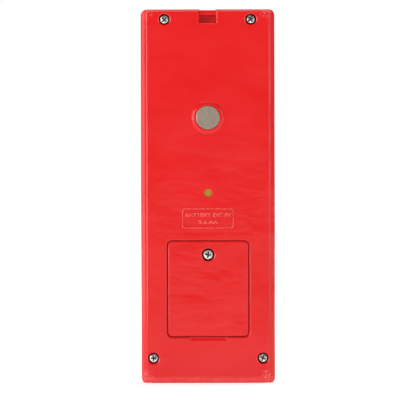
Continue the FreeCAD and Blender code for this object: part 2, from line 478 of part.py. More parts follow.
LEAD_R = 0.5
tag_y, tag_z = YR - 15.55 + LEAD_R, BAY_Z1 + 3.6
leads = {
    "battery_lead_red": [(CELL_X, tag_y, tag_z), (CELL_X, tag_y + 1.2, tag_z + 3.5), (CELL_X + 2, tag_y - 0.6, tag_z + 7.5), (CELL_X + 3, PCB_B, tag_z + 10.0)],
    "battery_lead_black": [(-CELL_X, tag_y, tag_z), (-CELL_X, tag_y + 1.2, tag_z + 3.5), (-CELL_X - 2, tag_y - 0.6, tag_z + 7.5), (-CELL_X - 3, PCB_B, tag_z + 10.0)],
    "buzzer_lead_red": [(6.0, ceramic_y - CERAMIC_T, HOLE_Z + 4.0), (8.0, 8.5, HOLE_Z + 6.0), (13.0, 4.0, HOLE_Z + 9.0), (14.0, -1.0, HOLE_Z + 7.0), (14.0, PCB_B, HOLE_Z + 4.0)],
    "buzzer_lead_black": [(-11.6, ceramic_y, HOLE_Z + 2.0), (-12.0, 8.5, HOLE_Z + 5.0), (-14.0, 4.0, HOLE_Z + 8.5), (-14.0, -1.0, HOLE_Z + 7.0), (-14.0, PCB_B, HOLE_Z + 4.0)],
}
for name, route in leads.items():
    body, length = tube(route, LEAD_R)
    body = body.cut(box(-W, W, PCB_B - 3, PCB_B, 0, H))
    if name.startswith("buzzer"):
        top = route[0][1]
        body = body.cut(box(-W, W, top, top + 3, 0, H))
    print("   %s length %.1f volume ratio %.3f" % (name, length, body.Volume / (math.pi * 0.25 * length)))
    save(name, body)

# ---------------------------------------------------------------- dial
knob = cyl_y(0, DIAL_Z, DIAL_R, DIAL_FRONT, DIAL_BACK)
rim = [e for e in knob.Edges if abs(e.BoundBox.YMin - DIAL_FRONT) < 1e-3 and abs(e.BoundBox.YMax - DIAL_FRONT) < 1e-3]
knob = knob.makeFillet(0.8, rim)
knob = fuse(knob, cyl_y(0, DIAL_Z, 5.0, DIAL_BACK - 0.5, -9.0))
scoops = []
for i in range(30):
    a = 2 * math.pi * i / 30
    scoops.append(cyl_y((DIAL_R + 0.55) * math.cos(a), DIAL_Z + (DIAL_R + 0.55) * math.sin(a), 1.0, DIAL_FRONT - 1, DIAL_BACK + 1))
hollow = cyl_y(0, DIAL_Z, 16.8, DIAL_FRONT + 1.5, DIAL_BACK + 1).cut(cyl_y(0, DIAL_Z, 5.0, DIAL_FRONT, DIAL_BACK + 2))
dimple_ball = Part.makeSphere(7.5, V(0, DIAL_FRONT - 6.5, DIAL_Z + 11.2))
save("tempo_dial", cut(knob, hollow, dimple_ball, cyl_y(0, DIAL_Z, SHAFT_R, DIAL_FRONT + 1.8, -8), *scoops))
shaft = cyl_y(0, DIAL_Z, SHAFT_R, DIAL_FRONT + 1.8, PCB_B + 1.0)
shaft = shaft.cut(cyl_y(0, DIAL_Z, SHAFT_R + 1, DIAL_FRONT, -8).cut(cyl_y(0, DIAL_Z, SHAFT_R - 0.01, DIAL_FRONT - 1, -7)))
save("encoder_shaft", shaft.cut(box(1.9, 4, DIAL_FRONT, -9.0, DIAL_Z - 4, DIAL_Z + 4)))

# ---------------------------------------------------------------- keys
for name, (x, z, w, h) in KEYS.items():
    r = min(w, h) / 2 - 0.1
    cap = slab(x, z, w - 2 * KEY_GAP, h - 2 * KEY_GAP, r - KEY_GAP, KEY_TOP, YF + WALL + 0.1)
    top = [e for e in cap.Edges if abs(e.BoundBox.YMin - KEY_TOP) < 1e-3 and abs(e.BoundBox.YMax - KEY_TOP) < 1e-3]
    cap = cap.makeFillet(0.5, top)
    flange = slab(x, z, w + 1.8, h + 1.8, r + 0.6, YF + WALL + 0.05, -9.0)
    save(name + "_button", fuse(cap, flange, cyl_y(x, z, 1.5, -9.2, -8.8)))
    save(name + "_switch_stem", cyl_y(x, z, 1.3, -8.8, -8.0))

# ---------------------------------------------------------------- volume slider
grip = slab(SLIDER_X, SLIDER_Z, 5.0, 3.6, 0.8, YF - 0.9, YF + WALL + 0.2)
cover_plate = slab(SLIDER_X, SLIDER_Z, 18.4, 6.4, 0.6, YF + WALL + 0.05, YF + WALL + 0.65)
save("volume_slider", fuse(grip, cover_plate))
save("volume_switch_lever", box(SLIDER_X - 0.8, SLIDER_X + 0.8, YF + WALL + 0.65, PCB_F - 1.1, SLIDER_Z - 0.8, SLIDER_Z + 0.8))

# ---------------------------------------------------------------- battery cover with its captive screw
dz0, dz1, dh = DOOR_Z0 + DOOR_GAP, DOOR_Z1 - DOOR_GAP, DOOR_HALF - DOOR_GAP
door = slab(0, (dz0 + dz1) / 2, 2 * dh, dz1 - dz0, DOOR_R - DOOR_GAP, YR - DOOR_T, YR)
door_parts = [cyl_y(0, DOOR_SCREW_Z, 4.6, YR - 4.0, YR - 1.0),
              box(-TAB_HALF, TAB_HALF, YR - 3.1, YR - 2.35, dz0 - 2.2, dz0 + 3.0),
              box(-TAB_HALF, TAB_HALF, YR - 3.1, YR - 1.5, dz0 + 1.2, dz0 + 3.0)]
door_parts += [box(s * CELL_X - 0.6, s * CELL_X + 0.6, YR - 3.2, YR - 1.5, 33.0, 64.0) for s in (-1, 1)]
door = fuse(door, *door_parts)
door = cut(door, cyl_y(0, DOOR_SCREW_Z, 3.45, YR - 2.6, YR + 1), cyl_y(0, DOOR_SCREW_Z, 1.6, YR - 6, YR), flare_cone(0, DOOR_SCREW_Z, 3.45))
door = soften(door, 0.8, lambda e: flat_at(e, YR) and (not within(e, -5, 5, DOOR_SCREW_Z - 5, DOOR_SCREW_Z + 5)))
save("battery_cover", door)
door_screw = pan_screw(0, DOOR_SCREW_Z, YR - 2.6, 2.6, 1.9, 1.3, 4.3, 20.0)
save("battery_cover_screw", door_screw)
save("screw_retainer", cut(cyl_y(0, DOOR_SCREW_Z, 2.4, YR - 4.45, YR - 4.05), cyl_y(0, DOOR_SCREW_Z, 1.31, YR - 6, YR)))
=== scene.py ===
"""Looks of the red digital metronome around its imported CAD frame. Metres, +Z up, back face towards +Y."""
import math

import bmesh
import bpy
from mathutils import Euler, Matrix, Vector


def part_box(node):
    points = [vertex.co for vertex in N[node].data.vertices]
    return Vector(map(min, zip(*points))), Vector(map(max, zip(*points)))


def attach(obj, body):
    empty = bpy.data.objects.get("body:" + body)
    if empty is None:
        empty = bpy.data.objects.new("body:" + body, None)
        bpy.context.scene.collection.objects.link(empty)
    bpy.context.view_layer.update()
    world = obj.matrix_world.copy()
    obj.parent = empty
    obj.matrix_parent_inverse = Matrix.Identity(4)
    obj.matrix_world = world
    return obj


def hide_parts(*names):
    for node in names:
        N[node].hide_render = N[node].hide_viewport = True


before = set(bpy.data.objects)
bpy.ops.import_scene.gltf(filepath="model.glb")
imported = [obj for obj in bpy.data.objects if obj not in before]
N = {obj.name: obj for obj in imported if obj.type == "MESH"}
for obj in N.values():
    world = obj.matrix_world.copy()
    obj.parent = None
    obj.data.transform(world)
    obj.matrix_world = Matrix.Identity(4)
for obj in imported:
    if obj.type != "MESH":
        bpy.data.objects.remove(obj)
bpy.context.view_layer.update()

MM = 0.001
scene = bpy.context.scene
scene.view_settings.view_transform = "Standard"
scene.view_settings.look = "None"
scene.view_settings.exposure = 0.0
scene.view_settings.gamma = 1.0

# places taken from the frame
rear_lo, rear_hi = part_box("rear_cover")
front_lo, front_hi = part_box("front_cover")
HALF_W = rear_hi.x
HEIGHT = rear_hi.z
door_lo, door_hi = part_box("battery_cover")
YR = door_hi.y                     # back face
YF = front_lo.y                    # front face
mag_lo, mag_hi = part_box("magnet_disc")
MAG = Vector(((mag_lo.x + mag_hi.x) / 2, mag_hi.y, (mag_lo.z + mag_hi.z) / 2))


# ------------------------------------------------------------------ node helpers
class Mat:
    """A material with its Principled shader and short calls for procedural detail."""

    def __init__(self, name, base=(0.8, 0.8, 0.8), rough=0.5, metal=0.0, ior=1.5, **more):
        self.m = bpy.data.materials.new(name)
        self.m.use_nodes = True
        self.t = self.m.node_tree
        self.n = self.t.nodes
        self.l = self.t.links
        self.b = self.n["Principled BSDF"]
        self.b.inputs["Base Color"].default_value = (*base, 1)
        self.b.inputs["Roughness"].default_value = rough
        self.b.inputs["Metallic"].default_value = metal
        self.b.inputs["IOR"].default_value = ior
        for key, value in more.items():
            self.b.inputs[key.replace("_", " ")].default_value = value
        self.coord = self.n.new("ShaderNodeTexCoord")
        self.normal = None

    def new(self, kind, **props):
        node = self.n.new(kind)
        for key, value in props.items():
            setattr(node, key, value)
        return node

    def position(self):
        return self.coord.outputs["Object"]

    def scaled(self, sx=1.0, sy=1.0, sz=1.0, move=(0, 0, 0), turn=(0, 0, 0)):
        node = self.new("ShaderNodeMapping")
        node.inputs["Scale"].default_value = (sx, sy, sz)
        node.inputs["Location"].default_value = move
        node.inputs["Rotation"].default_value = turn
        self.l.new(self.position(), node.inputs["Vector"])
        return node.outputs["Vector"]

    def noise(self, scale, detail=2.0, rough=0.5, vector=None, distortion=0.0):
        node = self.new("ShaderNodeTexNoise")
        node.inputs["Scale"].default_value = scale
        node.inputs["Detail"].default_value = detail
        node.inputs["Roughness"].default_value = rough
        node.inputs["Distortion"].default_value = distortion
        self.l.new(vector or self.position(), node.inputs["Vector"])
        return node.outputs["Fac"]

    def voronoi(self, scale, feature="F1", vector=None, randomness=1.0):
        node = self.new("ShaderNodeTexVoronoi", feature=feature)
        node.inputs["Scale"].default_value = scale
        node.inputs["Randomness"].default_value = randomness
        self.l.new(vector or self.position(), node.inputs["Vector"])
        return node.outputs["Distance"]

    def math(self, op, a, b=0.0, c=0.0, clamp=False):
        node = self.new("ShaderNodeMath", operation=op, use_clamp=clamp)
        for i, value in enumerate((a, b, c)):
            if isinstance(value, (int, float)):
                node.inputs[i].default_value = value
            else:
                self.l.new(value, node.inputs[i])
        return node.outputs[0]

    def ramp(self, value, stops):
        node = self.new("ShaderNodeValToRGB")
        ramp = node.color_ramp
        while len(ramp.elements) < len(stops):
            ramp.elements.new(0.5)
        for e, (pos, col) in zip(ramp.elements, stops):
            e.position = pos
            e.color = (*col, 1) if len(col) == 3 else col
        self.l.new(value, node.inputs["Fac"])
        return node.outputs["Color"]

    def fit(self, value, a, b, lo, hi):
        node = self.new("ShaderNodeMapRange")
        for i, v in enumerate((a, b, lo, hi)):
            node.inputs[1 + i].default_value = v
        self.l.new(value, node.inputs[0])
        return node.outputs[0]

    def mix(self, fac, a, b, blend="MIX"):
        node = self.new("ShaderNodeMix", data_type="RGBA", blend_type=blend)
        for sock, value in ((node.inputs[0], fac), (node.inputs[6], a), (node.inputs[7], b)):
            if isinstance(value, (int, float)):
                sock.default_value = value
            elif isinstance(value, tuple):
                sock.default_value = (*value, 1)
            else:
                self.l.new(value, sock)
        return node.outputs[2]

    def xyz(self, vector=None):
        node = self.new("ShaderNodeSeparateXYZ")
        self.l.new(vector or self.position(), node.inputs[0])
        return node.outputs[0], node.outputs[1], node.outputs[2]

    def bump(self, height, metres, strength=1.0):
        node = self.new("ShaderNodeBump")
        node.inputs["Strength"].default_value = strength
        node.inputs["Distance"].default_value = metres
        self.l.new(height, node.inputs["Height"])
        if self.normal:
            self.l.new(self.normal, node.inputs["Normal"])
        self.normal = node.outputs["Normal"]
        self.l.new(self.normal, self.b.inputs["Normal"])
        return self

    def to(self, socket, value):
        self.l.new(value, self.b.inputs[socket])
        return self


def dress(obj, mat):
    obj.data.materials.clear()
    obj.data.materials.append(mat.m if isinstance(mat, Mat) else mat)


def groups(node):
    """Boxes of a node's separate solids, by the side of the middle that they are on."""
    lo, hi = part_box(node)
    mx, mz = (lo.x + hi.x) / 2, (lo.z + hi.z) / 2
    found = {}
    for v in N[node].data.vertices:
        key = (v.co.x > mx, v.co.z > mz)
        a, b = found.setdefault(key, (Vector((1e9,) * 3), Vector((-1e9,) * 3)))
        for i in range(3):
            a[i] = min(a[i], v.co[i])
            b[i] = max(b[i], v.co[i])
    return [found[k] for k in sorted(found)]


# ------------------------------------------------------------------ materials
PAINTED_GAP_SHADE = (0.150, 0.0006, 0.0008)     # painted shade: red plastic darkened as if unlit at the bottom of narrow gaps and screw seats
POCKET_RED = (0.86, 0.026, 0.026)       # red light that bounces around inside the strap pocket
RAISED_LINE_HIGHLIGHT = (0.80, 0.090, 0.080)         # painted highlight: lighter red on the tops of raised lines, broken up like scuffs


def distance_xz(m, flat, x, z):
    node = m.new("ShaderNodeVectorMath", operation="DISTANCE")
    m.l.new(flat, node.inputs[0])
    node.inputs[1].default_value = (x, 0, z)
    return node.outputs["Value"]


def outline_distance(m, px, pz, lo, hi, r):
    """Signed distance from a rounded rectangle in the XZ plane."""
    cx, cz, hx, hz = (lo.x + hi.x) / 2, (lo.z + hi.z) / 2, (hi.x - lo.x) / 2 - r, (hi.z - lo.z) / 2 - r
    qx = m.math("SUBTRACT", m.math("ABSOLUTE", m.math("SUBTRACT", px, cx)), hx)
    qz = m.math("SUBTRACT", m.math("ABSOLUTE", m.math("SUBTRACT", pz, cz)), hz)
    ox, oz = m.math("MAXIMUM", qx, 0.0), m.math("MAXIMUM", qz, 0.0)
    out = m.math("SQRT", m.math("ADD", m.math("MULTIPLY", ox, ox), m.math("MULTIPLY", oz, oz)))
    inside = m.math("MINIMUM", m.math("MAXIMUM", qx, qz), 0.0)
    return m.math("SUBTRACT", m.math("ADD", out, inside), r)


def red_abs(name, seed, seats=(), gap=None, slot=False, label=False, ribs=False, edge=False, wave=1.0):
    """Glossy moulded ABS: flow waviness, sink lines, polish texture, wipe marks; painted shade in narrow gaps and screw
    seats, painted bounce light in the strap pocket, painted highlight on raised lines, painted reflection on the bottom
    border, painted glints at the corners.
    """
    m = Mat(name, (0.66, 0.006, 0.007), rough=0.14, ior=1.43)
    shift = m.scaled(1, 1, 1, move=(seed * 0.37, seed * 0.11, seed * 0.23))
    tone = m.noise(34, 2, 0.5, shift)
    col = m.ramp(tone, [(0.30, (0.645, 0.0050, 0.0054)), (0.52, (0.660, 0.0064, 0.0068)), (0.75, (0.675, 0.0084, 0.0088))])
    px, py, pz = m.xyz()
    join = m.new("ShaderNodeCombineXYZ")
    m.l.new(px, join.inputs[0])
    m.l.new(pz, join.inputs[2])
    flat = join.outputs[0]
    low = m.fit(py, YR - 0.00075, YR - 0.00035, 1.0, 0.0)
    # painted shade: the screw seats and the door gap get a darker red below the face, less of it along the gap's top
    # edge
    dark = None
    if seats:
        near = None
        for x, z, r in seats:
            d = m.math("SUBTRACT", distance_xz(m, flat, x, z), r)
            near = d if near is None else m.math("MINIMUM", near, d)
        dark = m.math("MULTIPLY", m.fit(near, 0.0001, 0.0004, 1.0, 0.0), low)
    if gap:
        d = m.math("ABSOLUTE", outline_distance(m, px, pz, *gap))
        g = m.math("MULTIPLY", m.fit(d, 0.00022, 0.00034, 0.34, 0.0), m.fit(pz, gap[1].z - 0.0016, gap[1].z - 0.0004, 1.0, 0.25))
        g = m.math("MULTIPLY", g, low)
        dark = g if dark is None else m.math("MAXIMUM", dark, g)
    # mix in the painted shade
    if dark is not None:
        col = m.mix(dark, col, PAINTED_GAP_SHADE)
    if slot:
        deep = m.fit(py, YR - 0.0070, YR - 0.0030, 1.0, 0.0)
        across = m.fit(m.math("ABSOLUTE", px), 0.0046, 0.0048, 1.0, 0.0)
        col = m.mix(m.math("MULTIPLY", m.math("MULTIPLY", deep, across), m.fit(pz, 0.1950, 0.1960, 0.0, 0.58)), col, POCKET_RED)
    if label:
        # painted highlight: the tops of the raised label lines and lettering are lightened, with a patchy wear-like
        # break-up
        up = m.fit(py, YR + 0.00008, YR + 0.00030, 0.0, 1.0)
        here = m.fit(m.math("ABSOLUTE", m.math("SUBTRACT", pz, LABEL_Z)), 0.0062, 0.0066, 1.0, 0.0)
        wear_and_highlight = m.fit(m.noise(620, 3, 0.6), 0.36, 0.58, 0.25, 1.0)
        col = m.mix(m.math("MULTIPLY", m.math("MULTIPLY", up, here), wear_and_highlight), col, RAISED_LINE_HIGHLIGHT)
    if edge:
        # painted reflection: the bottom border gets a lighter red, broken up like rub wear
        inset = m.math("MULTIPLY", outline_distance(m, px, pz, rear_lo, rear_hi, 0.0025), -1.0)
        rub_and_sheen = m.fit(m.noise(210, 4, 0.65), 0.30, 0.62, 0.35, 1.0)
        bottom_sheen = m.math("MULTIPLY", m.fit(pz, 0.0026, 0.0040, 1.0, 0.0), m.fit(inset, 0.0002, 0.0010, 0.35, 1.0))
        col = m.mix(m.math("MULTIPLY", bottom_sheen, rub_and_sheen), col, (0.700, 0.052, 0.052))
        # painted highlight: pink glints near the four corners of the borders, broken into flecks
        marks = None
        for x, z in ((HALF_W - 0.0036, 0.0046), (-HALF_W + 0.0044, 0.0043), (HALF_W - 0.0036, HEIGHT - 0.0020), (-HALF_W + 0.0050, HEIGHT - 0.0020)):
            d = m.fit(distance_xz(m, flat, x, z), 0.0006, 0.0038, 1.0, 0.0)
            marks = d if marks is None else m.math("MAXIMUM", marks, d)
        marks = m.math("MULTIPLY", marks, m.fit(py, YR - 0.0042, YR - 0.0022, 0.0, 1.0))
        glint_flecks = m.fit(m.noise(1500, 3, 0.6), 0.53, 0.60, 0.0, 1.0)
        col = m.mix(m.math("MULTIPLY", m.math("MULTIPLY", marks, glint_flecks), 0.85), col, (0.80, 0.26, 0.22))
    m.to("Base Color", col)
    # roughness: mostly polished, a little duller in patches and along faint wipe marks
    patches = m.noise(60, 4, 0.6, shift)
    wipes = m.noise(1, 3, 0.6, m.scaled(900, 900, 70, turn=(0, 0.5, 0)))
    r = m.math("ADD", m.fit(patches, 0.3, 0.75, 0.095, 0.16), m.fit(wipes, 0.55, 0.8, 0.0, 0.05))
    if dark is not None:
        r = m.fit(m.math("ADD", r, m.math("MULTIPLY", dark, 0.75)), 0.0, 1.0, 0.0, 1.0)
    m.to("Roughness", r)
    broad = m.noise(44, 1.5, 0.4, shift)
    m.bump(broad, 0.00036 * wave)
    calm = m.fit(pz, 0.095, 0.150, 1.0, 0.35)
    flow = m.math("MULTIPLY", m.noise(112, 2, 0.5, m.scaled(0.75, 1, 1.5, move=(seed, 0, 0))), calm)
    m.bump(flow, 0.00013 * wave)
    if ribs:
        # shallow sink lines over the ribs that frame the battery bay
        top = m.math("MULTIPLY", m.fit(m.math("ABSOLUTE", m.math("SUBTRACT", pz, 0.0827)), 0.0, 0.0013, 1.0, 0.0), m.fit(m.math("ABSOLUTE", m.math("ADD", px, 0.0021)), 0.0215, 0.0250, 1.0, 0.0))
        side = m.math("MULTIPLY", m.fit(m.math("ABSOLUTE", m.math("ADD", px, 0.0256)), 0.0, 0.0012, 1.0, 0.0), m.fit(m.math("ABSOLUTE", m.math("SUBTRACT", pz, 0.054)), 0.0240, 0.0285, 1.0, 0.0))
        m.bump(m.math("MULTIPLY", m.math("MAXIMUM", top, side), -1.0), 0.000016)
    peel = m.noise(1500, 2, 0.5, shift)
    m.bump(peel, 0.0000011)
    return m


def satin_plastic(name, base, rough=0.42, seed=1.0, grain=2600):
    m = Mat(name, base, rough=rough)
    tone = m.noise(55, 3, 0.5, m.scaled(1, 1, 1, move=(seed, 0, 0)))
    dark = tuple(c * 0.88 for c in base)
    pale = tuple(min(1, c * 1.1 + 0.004) for c in base)
    m.to("Base Color", m.ramp(tone, [(0.3, dark), (0.7, pale)]))
    m.to("Roughness", m.fit(m.noise(90, 3), 0.3, 0.7, rough - 0.06, rough + 0.07))
    m.bump(m.voronoi(grain, "SMOOTH_F1"), 0.000012)
    m.bump(m.noise(grain * 1.7, 2), 0.000004)
    return m


def metal(name, base, rough=0.28, streak=(60, 4000, 60), seed=0.0, depth=0.0000025, ior=1.5):
    m = Mat(name, base, rough=rough, metal=1.0)
    lines = m.noise(1, 3, 0.55, m.scaled(*streak, move=(seed, seed, 0)))
    spots = m.noise(520, 3, 0.6)
    col = m.mix(m.fit(spots, 0.35, 0.75, 0, 1), tuple(c * 0.86 for c in base), tuple(min(1, c * 1.06) for c in base))
    m.to("Base Color", col)
    m.to("Roughness", m.math("ADD", m.fit(lines, 0.3, 0.7, rough - 0.06, rough + 0.06), m.fit(spots, 0.4, 0.8, -0.02, 0.06)))
    m.bump(lines, depth)
    m.bump(m.noise(1400, 2), depth * 0.8)
    return m


LABEL_Z = 0.0904
DOOR_PLAY = 0.0004
case_boxes = groups("case_screws")
CASE_SEATS = [((lo.x + hi.x) / 2, (lo.z + hi.z) / 2, 0.0031) for lo, hi in case_boxes]
dscrew_lo, dscrew_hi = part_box("battery_cover_screw")
DOOR_SEAT = ((dscrew_lo.x + dscrew_hi.x) / 2, (dscrew_lo.z + dscrew_hi.z) / 2, 0.0035)
# the cover's visible outline is its box without the hidden tab below it
door_face = [v.co for v in N["battery_cover"].data.vertices if v.co.y > YR - 0.0012]
face_lo = Vector((min(c.x for c in door_face), 0, min(c.z for c in door_face)))
face_hi = Vector((max(c.x for c in door_face), 0, max(c.z for c in door_face)))
play = Vector((DOOR_PLAY / 2, 0, DOOR_PLAY / 2))

RED_REAR = red_abs("red_abs_rear", 1.0, CASE_SEATS, (face_lo - play, face_hi + play, 0.0028), slot=True, label=True, ribs=True, edge=True)
RED_DOOR = red_abs("red_abs_door", 5.0, [DOOR_SEAT], (face_lo - play, face_hi + play, 0.0028), wave=1.25)
RED_FRONT = red_abs("red_abs_front", 9.0)
RED_BAR = red_abs("red_abs_bar", 13.0)

ZINC = metal("zinc_plated_steel", (0.62, 0.62, 0.64), 0.24, (700, 700, 700))
MAGNET = metal("satin_nickel", (0.42, 0.345, 0.272), 0.36, (2600, 300, 240), depth=0.000004)
BRASS = metal("rolled_brass", (0.62, 0.335, 0.065), 0.30, (2400, 200, 120))
NICKEL = metal("nickel_strip", (0.70, 0.68, 0.63), 0.22, (2400, 200, 200))
CAN = metal("drawn_can", (0.60, 0.60, 0.62), 0.30, (300, 300, 3000))

DARK_KEY = satin_plastic("dark_key_plastic", (0.028, 0.028, 0.031), 0.38, 2)
PALE_KEY = satin_plastic("pale_key_plastic", (0.80, 0.79, 0.75), 0.36, 3)
BLACK = satin_plastic("black_moulded", (0.014, 0.014, 0.015), 0.45, 4)
WHITE = satin_plastic("white_moulded", (0.72, 0.72, 0.70), 0.42, 5)
GREY = satin_plastic("grey_moulded", (0.22, 0.225, 0.235), 0.45, 6)
RUBBER = satin_plastic("layered_elastomer", (0.10, 0.10, 0.105), 0.7, 7, 4000)

# board: green mask over copper traces
PCB = Mat("solder_mask", (0.012, 0.09, 0.035), rough=0.3)
_traces = PCB.voronoi(420, "DISTANCE_TO_EDGE", PCB.scaled(1, 1, 1), 0.25)
_lines = PCB.fit(_traces, 0.06, 0.10, 1, 0)
PCB.to("Base Color", PCB.mix(_lines, (0.010, 0.075, 0.028), (0.03, 0.17, 0.06)))
PCB.to("Roughness", PCB.fit(PCB.noise(300, 3), 0.3, 0.7, 0.22, 0.38))
PCB.bump(_lines, 0.00003)
PCB.bump(PCB.noise(2200, 2), 0.000003)

CERAMIC = Mat("silvered_ceramic", (0.70, 0.69, 0.66), rough=0.38, metal=0.3)
CERAMIC.to("Base Color", CERAMIC.ramp(CERAMIC.noise(700, 4), [(0.3, (0.62, 0.61, 0.58)), (0.7, (0.78, 0.77, 0.74))]))
CERAMIC.bump(CERAMIC.noise(1800, 3), 0.000006)

EPOXY = Mat("black_epoxy", (0.006, 0.006, 0.007), rough=0.22)
EPOXY.to("Roughness", EPOXY.fit(EPOXY.noise(300, 3), 0.3, 0.7, 0.15, 0.32))
EPOXY.bump(EPOXY.noise(420, 2), 0.00006)

SLEEVE = Mat("capacitor_sleeve", (0.012, 0.02, 0.07), rough=0.32)
SLEEVE.to("Base Color", SLEEVE.ramp(SLEEVE.noise(200, 3), [(0.3, (0.010, 0.017, 0.06)), (0.7, (0.016, 0.026, 0.085))]))
SLEEVE.bump(SLEEVE.noise(1500, 2), 0.000006)


def insulation(name, base):
    m = Mat(name, base, rough=0.4)
    m.to("Base Color", m.ramp(m.noise(400, 2), [(0.3, tuple(c * 0.85 for c in base)), (0.7, tuple(min(1, c * 1.1) for c in base))]))
    m.to("Roughness", m.fit(m.noise(900, 3), 0.3, 0.7, 0.33, 0.48))
    m.bump(m.noise(1600, 2), 0.000008)
    return m


RED_WIRE = insulation("red_insulation", (0.55, 0.012, 0.010))
BLACK_WIRE = insulation("black_insulation", (0.012, 0.012, 0.012))

# clear acrylic lens: mostly straight through, with a polished front
LENS = Mat("clear_acrylic", (0.010, 0.012, 0.014), rough=0.02, ior=1.9, Alpha=0.24)
LENS.to("Roughness", LENS.fit(LENS.noise(240, 4), 0.35, 0.8, 0.015, 0.06))
LENS.bump(LENS.noise(60, 1), 0.00002)
GUIDE = Mat("frosted_guide", (0.85, 0.84, 0.82), rough=0.5, Alpha=0.85)
GUIDE.to("Base Color", GUIDE.ramp(GUIDE.noise(900, 2), [(0.3, (0.78, 0.77, 0.75)), (0.7, (0.9, 0.89, 0.87))]))
GUIDE.bump(GUIDE.noise(2500, 2), 0.00001)
INK = Mat("black_ink", (0.006, 0.006, 0.007), rough=0.28)
INK.to("Roughness", INK.fit(INK.noise(1200, 2), 0.3, 0.7, 0.22, 0.36))
INK.bump(INK.noise(2500, 2), 0.000003)
LCD = Mat("display_glass", (0.34, 0.37, 0.30), rough=0.22)
LCD.to("Base Color", LCD.ramp(LCD.noise(2400, 3), [(0.3, (0.315, 0.345, 0.275)), (0.7, (0.365, 0.395, 0.325))]))
LCD.to("Roughness", LCD.fit(LCD.noise(800, 3), 0.3, 0.7, 0.18, 0.3))
LCD.bump(LCD.noise(3600, 2), 0.000004)
SEGMENT = Mat("display_segment", (0.02, 0.022, 0.024), rough=0.4)
SEGMENT.to("Base Color", SEGMENT.ramp(SEGMENT.noise(1500, 2), [(0.3, (0.016, 0.018, 0.02)), (0.7, (0.028, 0.03, 0.032))]))
LED = Mat("surface_lamp", (0.75, 0.20, 0.15), rough=0.3)
LED.to("Base Color", LED.ramp(LED.noise(1800, 2), [(0.3, (0.65, 0.15, 0.1)), (0.7, (0.85, 0.3, 0.2))]))
PRINT = Mat("white_print", (0.78, 0.78, 0.76), rough=0.45)
PRINT.to("Base Color", PRINT.ramp(PRINT.noise(1800, 3), [(0.3, (0.70, 0.70, 0.68)), (0.7, (0.83, 0.83, 0.81))]))
PRINT.bump(PRINT.noise(2600, 2), 0.000004)
SOLDER = metal("solder", (0.62, 0.63, 0.65), 0.3, (300, 300, 300))

# printed foil jacket of a cell, in one mottled grey
JACKET = Mat("cell_jacket", (0.4, 0.4, 0.4), rough=0.3, metal=0.0)
_x, _y, _z = JACKET.xyz()
JACKET.to("Base Color", JACKET.ramp(JACKET.noise(300, 2), [(0.3, (0.55, 0.56, 0.57)), (0.7, (0.62, 0.63, 0.64))]))
JACKET.bump(JACKET.noise(900, 2), 0.000006)

PLAIN = {
    "rear_cover": RED_REAR, "front_cover": RED_FRONT, "strap_bar": RED_BAR, "battery_cover": RED_DOOR,
    "magnet_disc": MAGNET, "buzzer_brass_disc": BRASS, "buzzer_ceramic": CERAMIC, "main_board": PCB, "board_screws": ZINC, "case_screws": ZINC,
    "battery_cover_screw": ZINC, "screw_retainer": BLACK, "display_lens": LENS, "display_mask": INK, "lcd_glass": LCD, "lcd_frame": WHITE,
    "zebra_strips": RUBBER, "beat_leds": LED, "led_light_guides": GUIDE, "encoder_body": GREY, "key_switch_bodies": BLACK, "slide_switch_body": CAN,
    "controller_blob": EPOXY, "crystal_can": CAN, "capacitors": SLEEVE, "chip_resistors": BLACK, "cell_right": JACKET, "cell_left": JACKET,
    "contact_positive": NICKEL, "contact_negative": NICKEL, "contact_bridge": NICKEL, "contact_spring_upper": NICKEL, "contact_spring_lower": NICKEL,
    "battery_lead_red": RED_WIRE, "buzzer_lead_red": RED_WIRE, "battery_lead_black": BLACK_WIRE, "buzzer_lead_black": BLACK_WIRE,
    "tempo_dial": DARK_KEY, "encoder_shaft": WHITE, "start_stop_button": PALE_KEY, "beat_button": DARK_KEY, "tap_button": DARK_KEY,
    "tone_button": DARK_KEY, "light_button": DARK_KEY, "start_stop_switch_stem": BLACK, "beat_switch_stem": BLACK, "tap_switch_stem": BLACK,
    "tone_switch_stem": BLACK, "light_switch_stem": BLACK, "volume_slider": DARK_KEY, "volume_switch_lever": BLACK,
}
for node_name, node in N.items():
    dress(node, PLAIN[node_name])

# ------------------------------------------------------------------ mesh helpers
def build(name, parts, body, replaces=(), sharp=38.0):
    """One piece from closed shells, each (vertices, faces, material)."""
    verts, faces, index, mats = [], [], [], []
    for vs, fs, mat in parts:
        if mat not in mats:
            mats.append(mat)
        base = len(verts)
        verts += [tuple(v) for v in vs]
        faces += [tuple(base + i for i in f) for f in fs]
        index += [mats.index(mat)] * len(fs)
    mesh = bpy.data.meshes.new(name)
    mesh.from_pydata(verts, [], faces)
    mesh.polygons.foreach_set("material_index", index)
    for mat in mats:
        mesh.materials.append(mat.m)
    work = bmesh.new()
    work.from_mesh(mesh)
    bmesh.ops.remove_doubles(work, verts=work.verts, dist=1e-8)
    bmesh.ops.recalc_face_normals(work, faces=work.faces)
    work.to_mesh(mesh)
    work.free()
    for p in mesh.polygons:
        p.use_smooth = True
    mesh.set_sharp_from_angle(angle=math.radians(sharp))
    obj = bpy.data.objects.new(name, mesh)
    scene.collection.objects.link(obj)
    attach(obj, body)
    if replaces:
        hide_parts(*replaces)
    return obj


def loft(rows, start=None, end=None):
    """Quads through equal closed rows of points; start and end are centre points that close the ends, or True for a flat cap."""
    n = len(rows[0])
    verts = [v for row in rows for v in row]
    faces = [(i * n + j, i * n + (j + 1) % n, (i + 1) * n + (j + 1) % n, (i + 1) * n + j) for i in range(len(rows) - 1) for j in range(n)]
    last = (len(rows) - 1) * n
    for cap, first in ((start, 0), (end, last)):
        if cap is None:
            continue
        if cap is True:
            faces.append(tuple(range(first, first + n)))
        else:
            verts.append(cap)
            faces += [(first + j, first + (j + 1) % n, len(verts) - 1) for j in range(n)]
    return verts, faces


def smooth(a, b, x):
    t = min(1.0, max(0.0, (x - a) / (b - a)))
    return t * t * (3 - 2 * t)


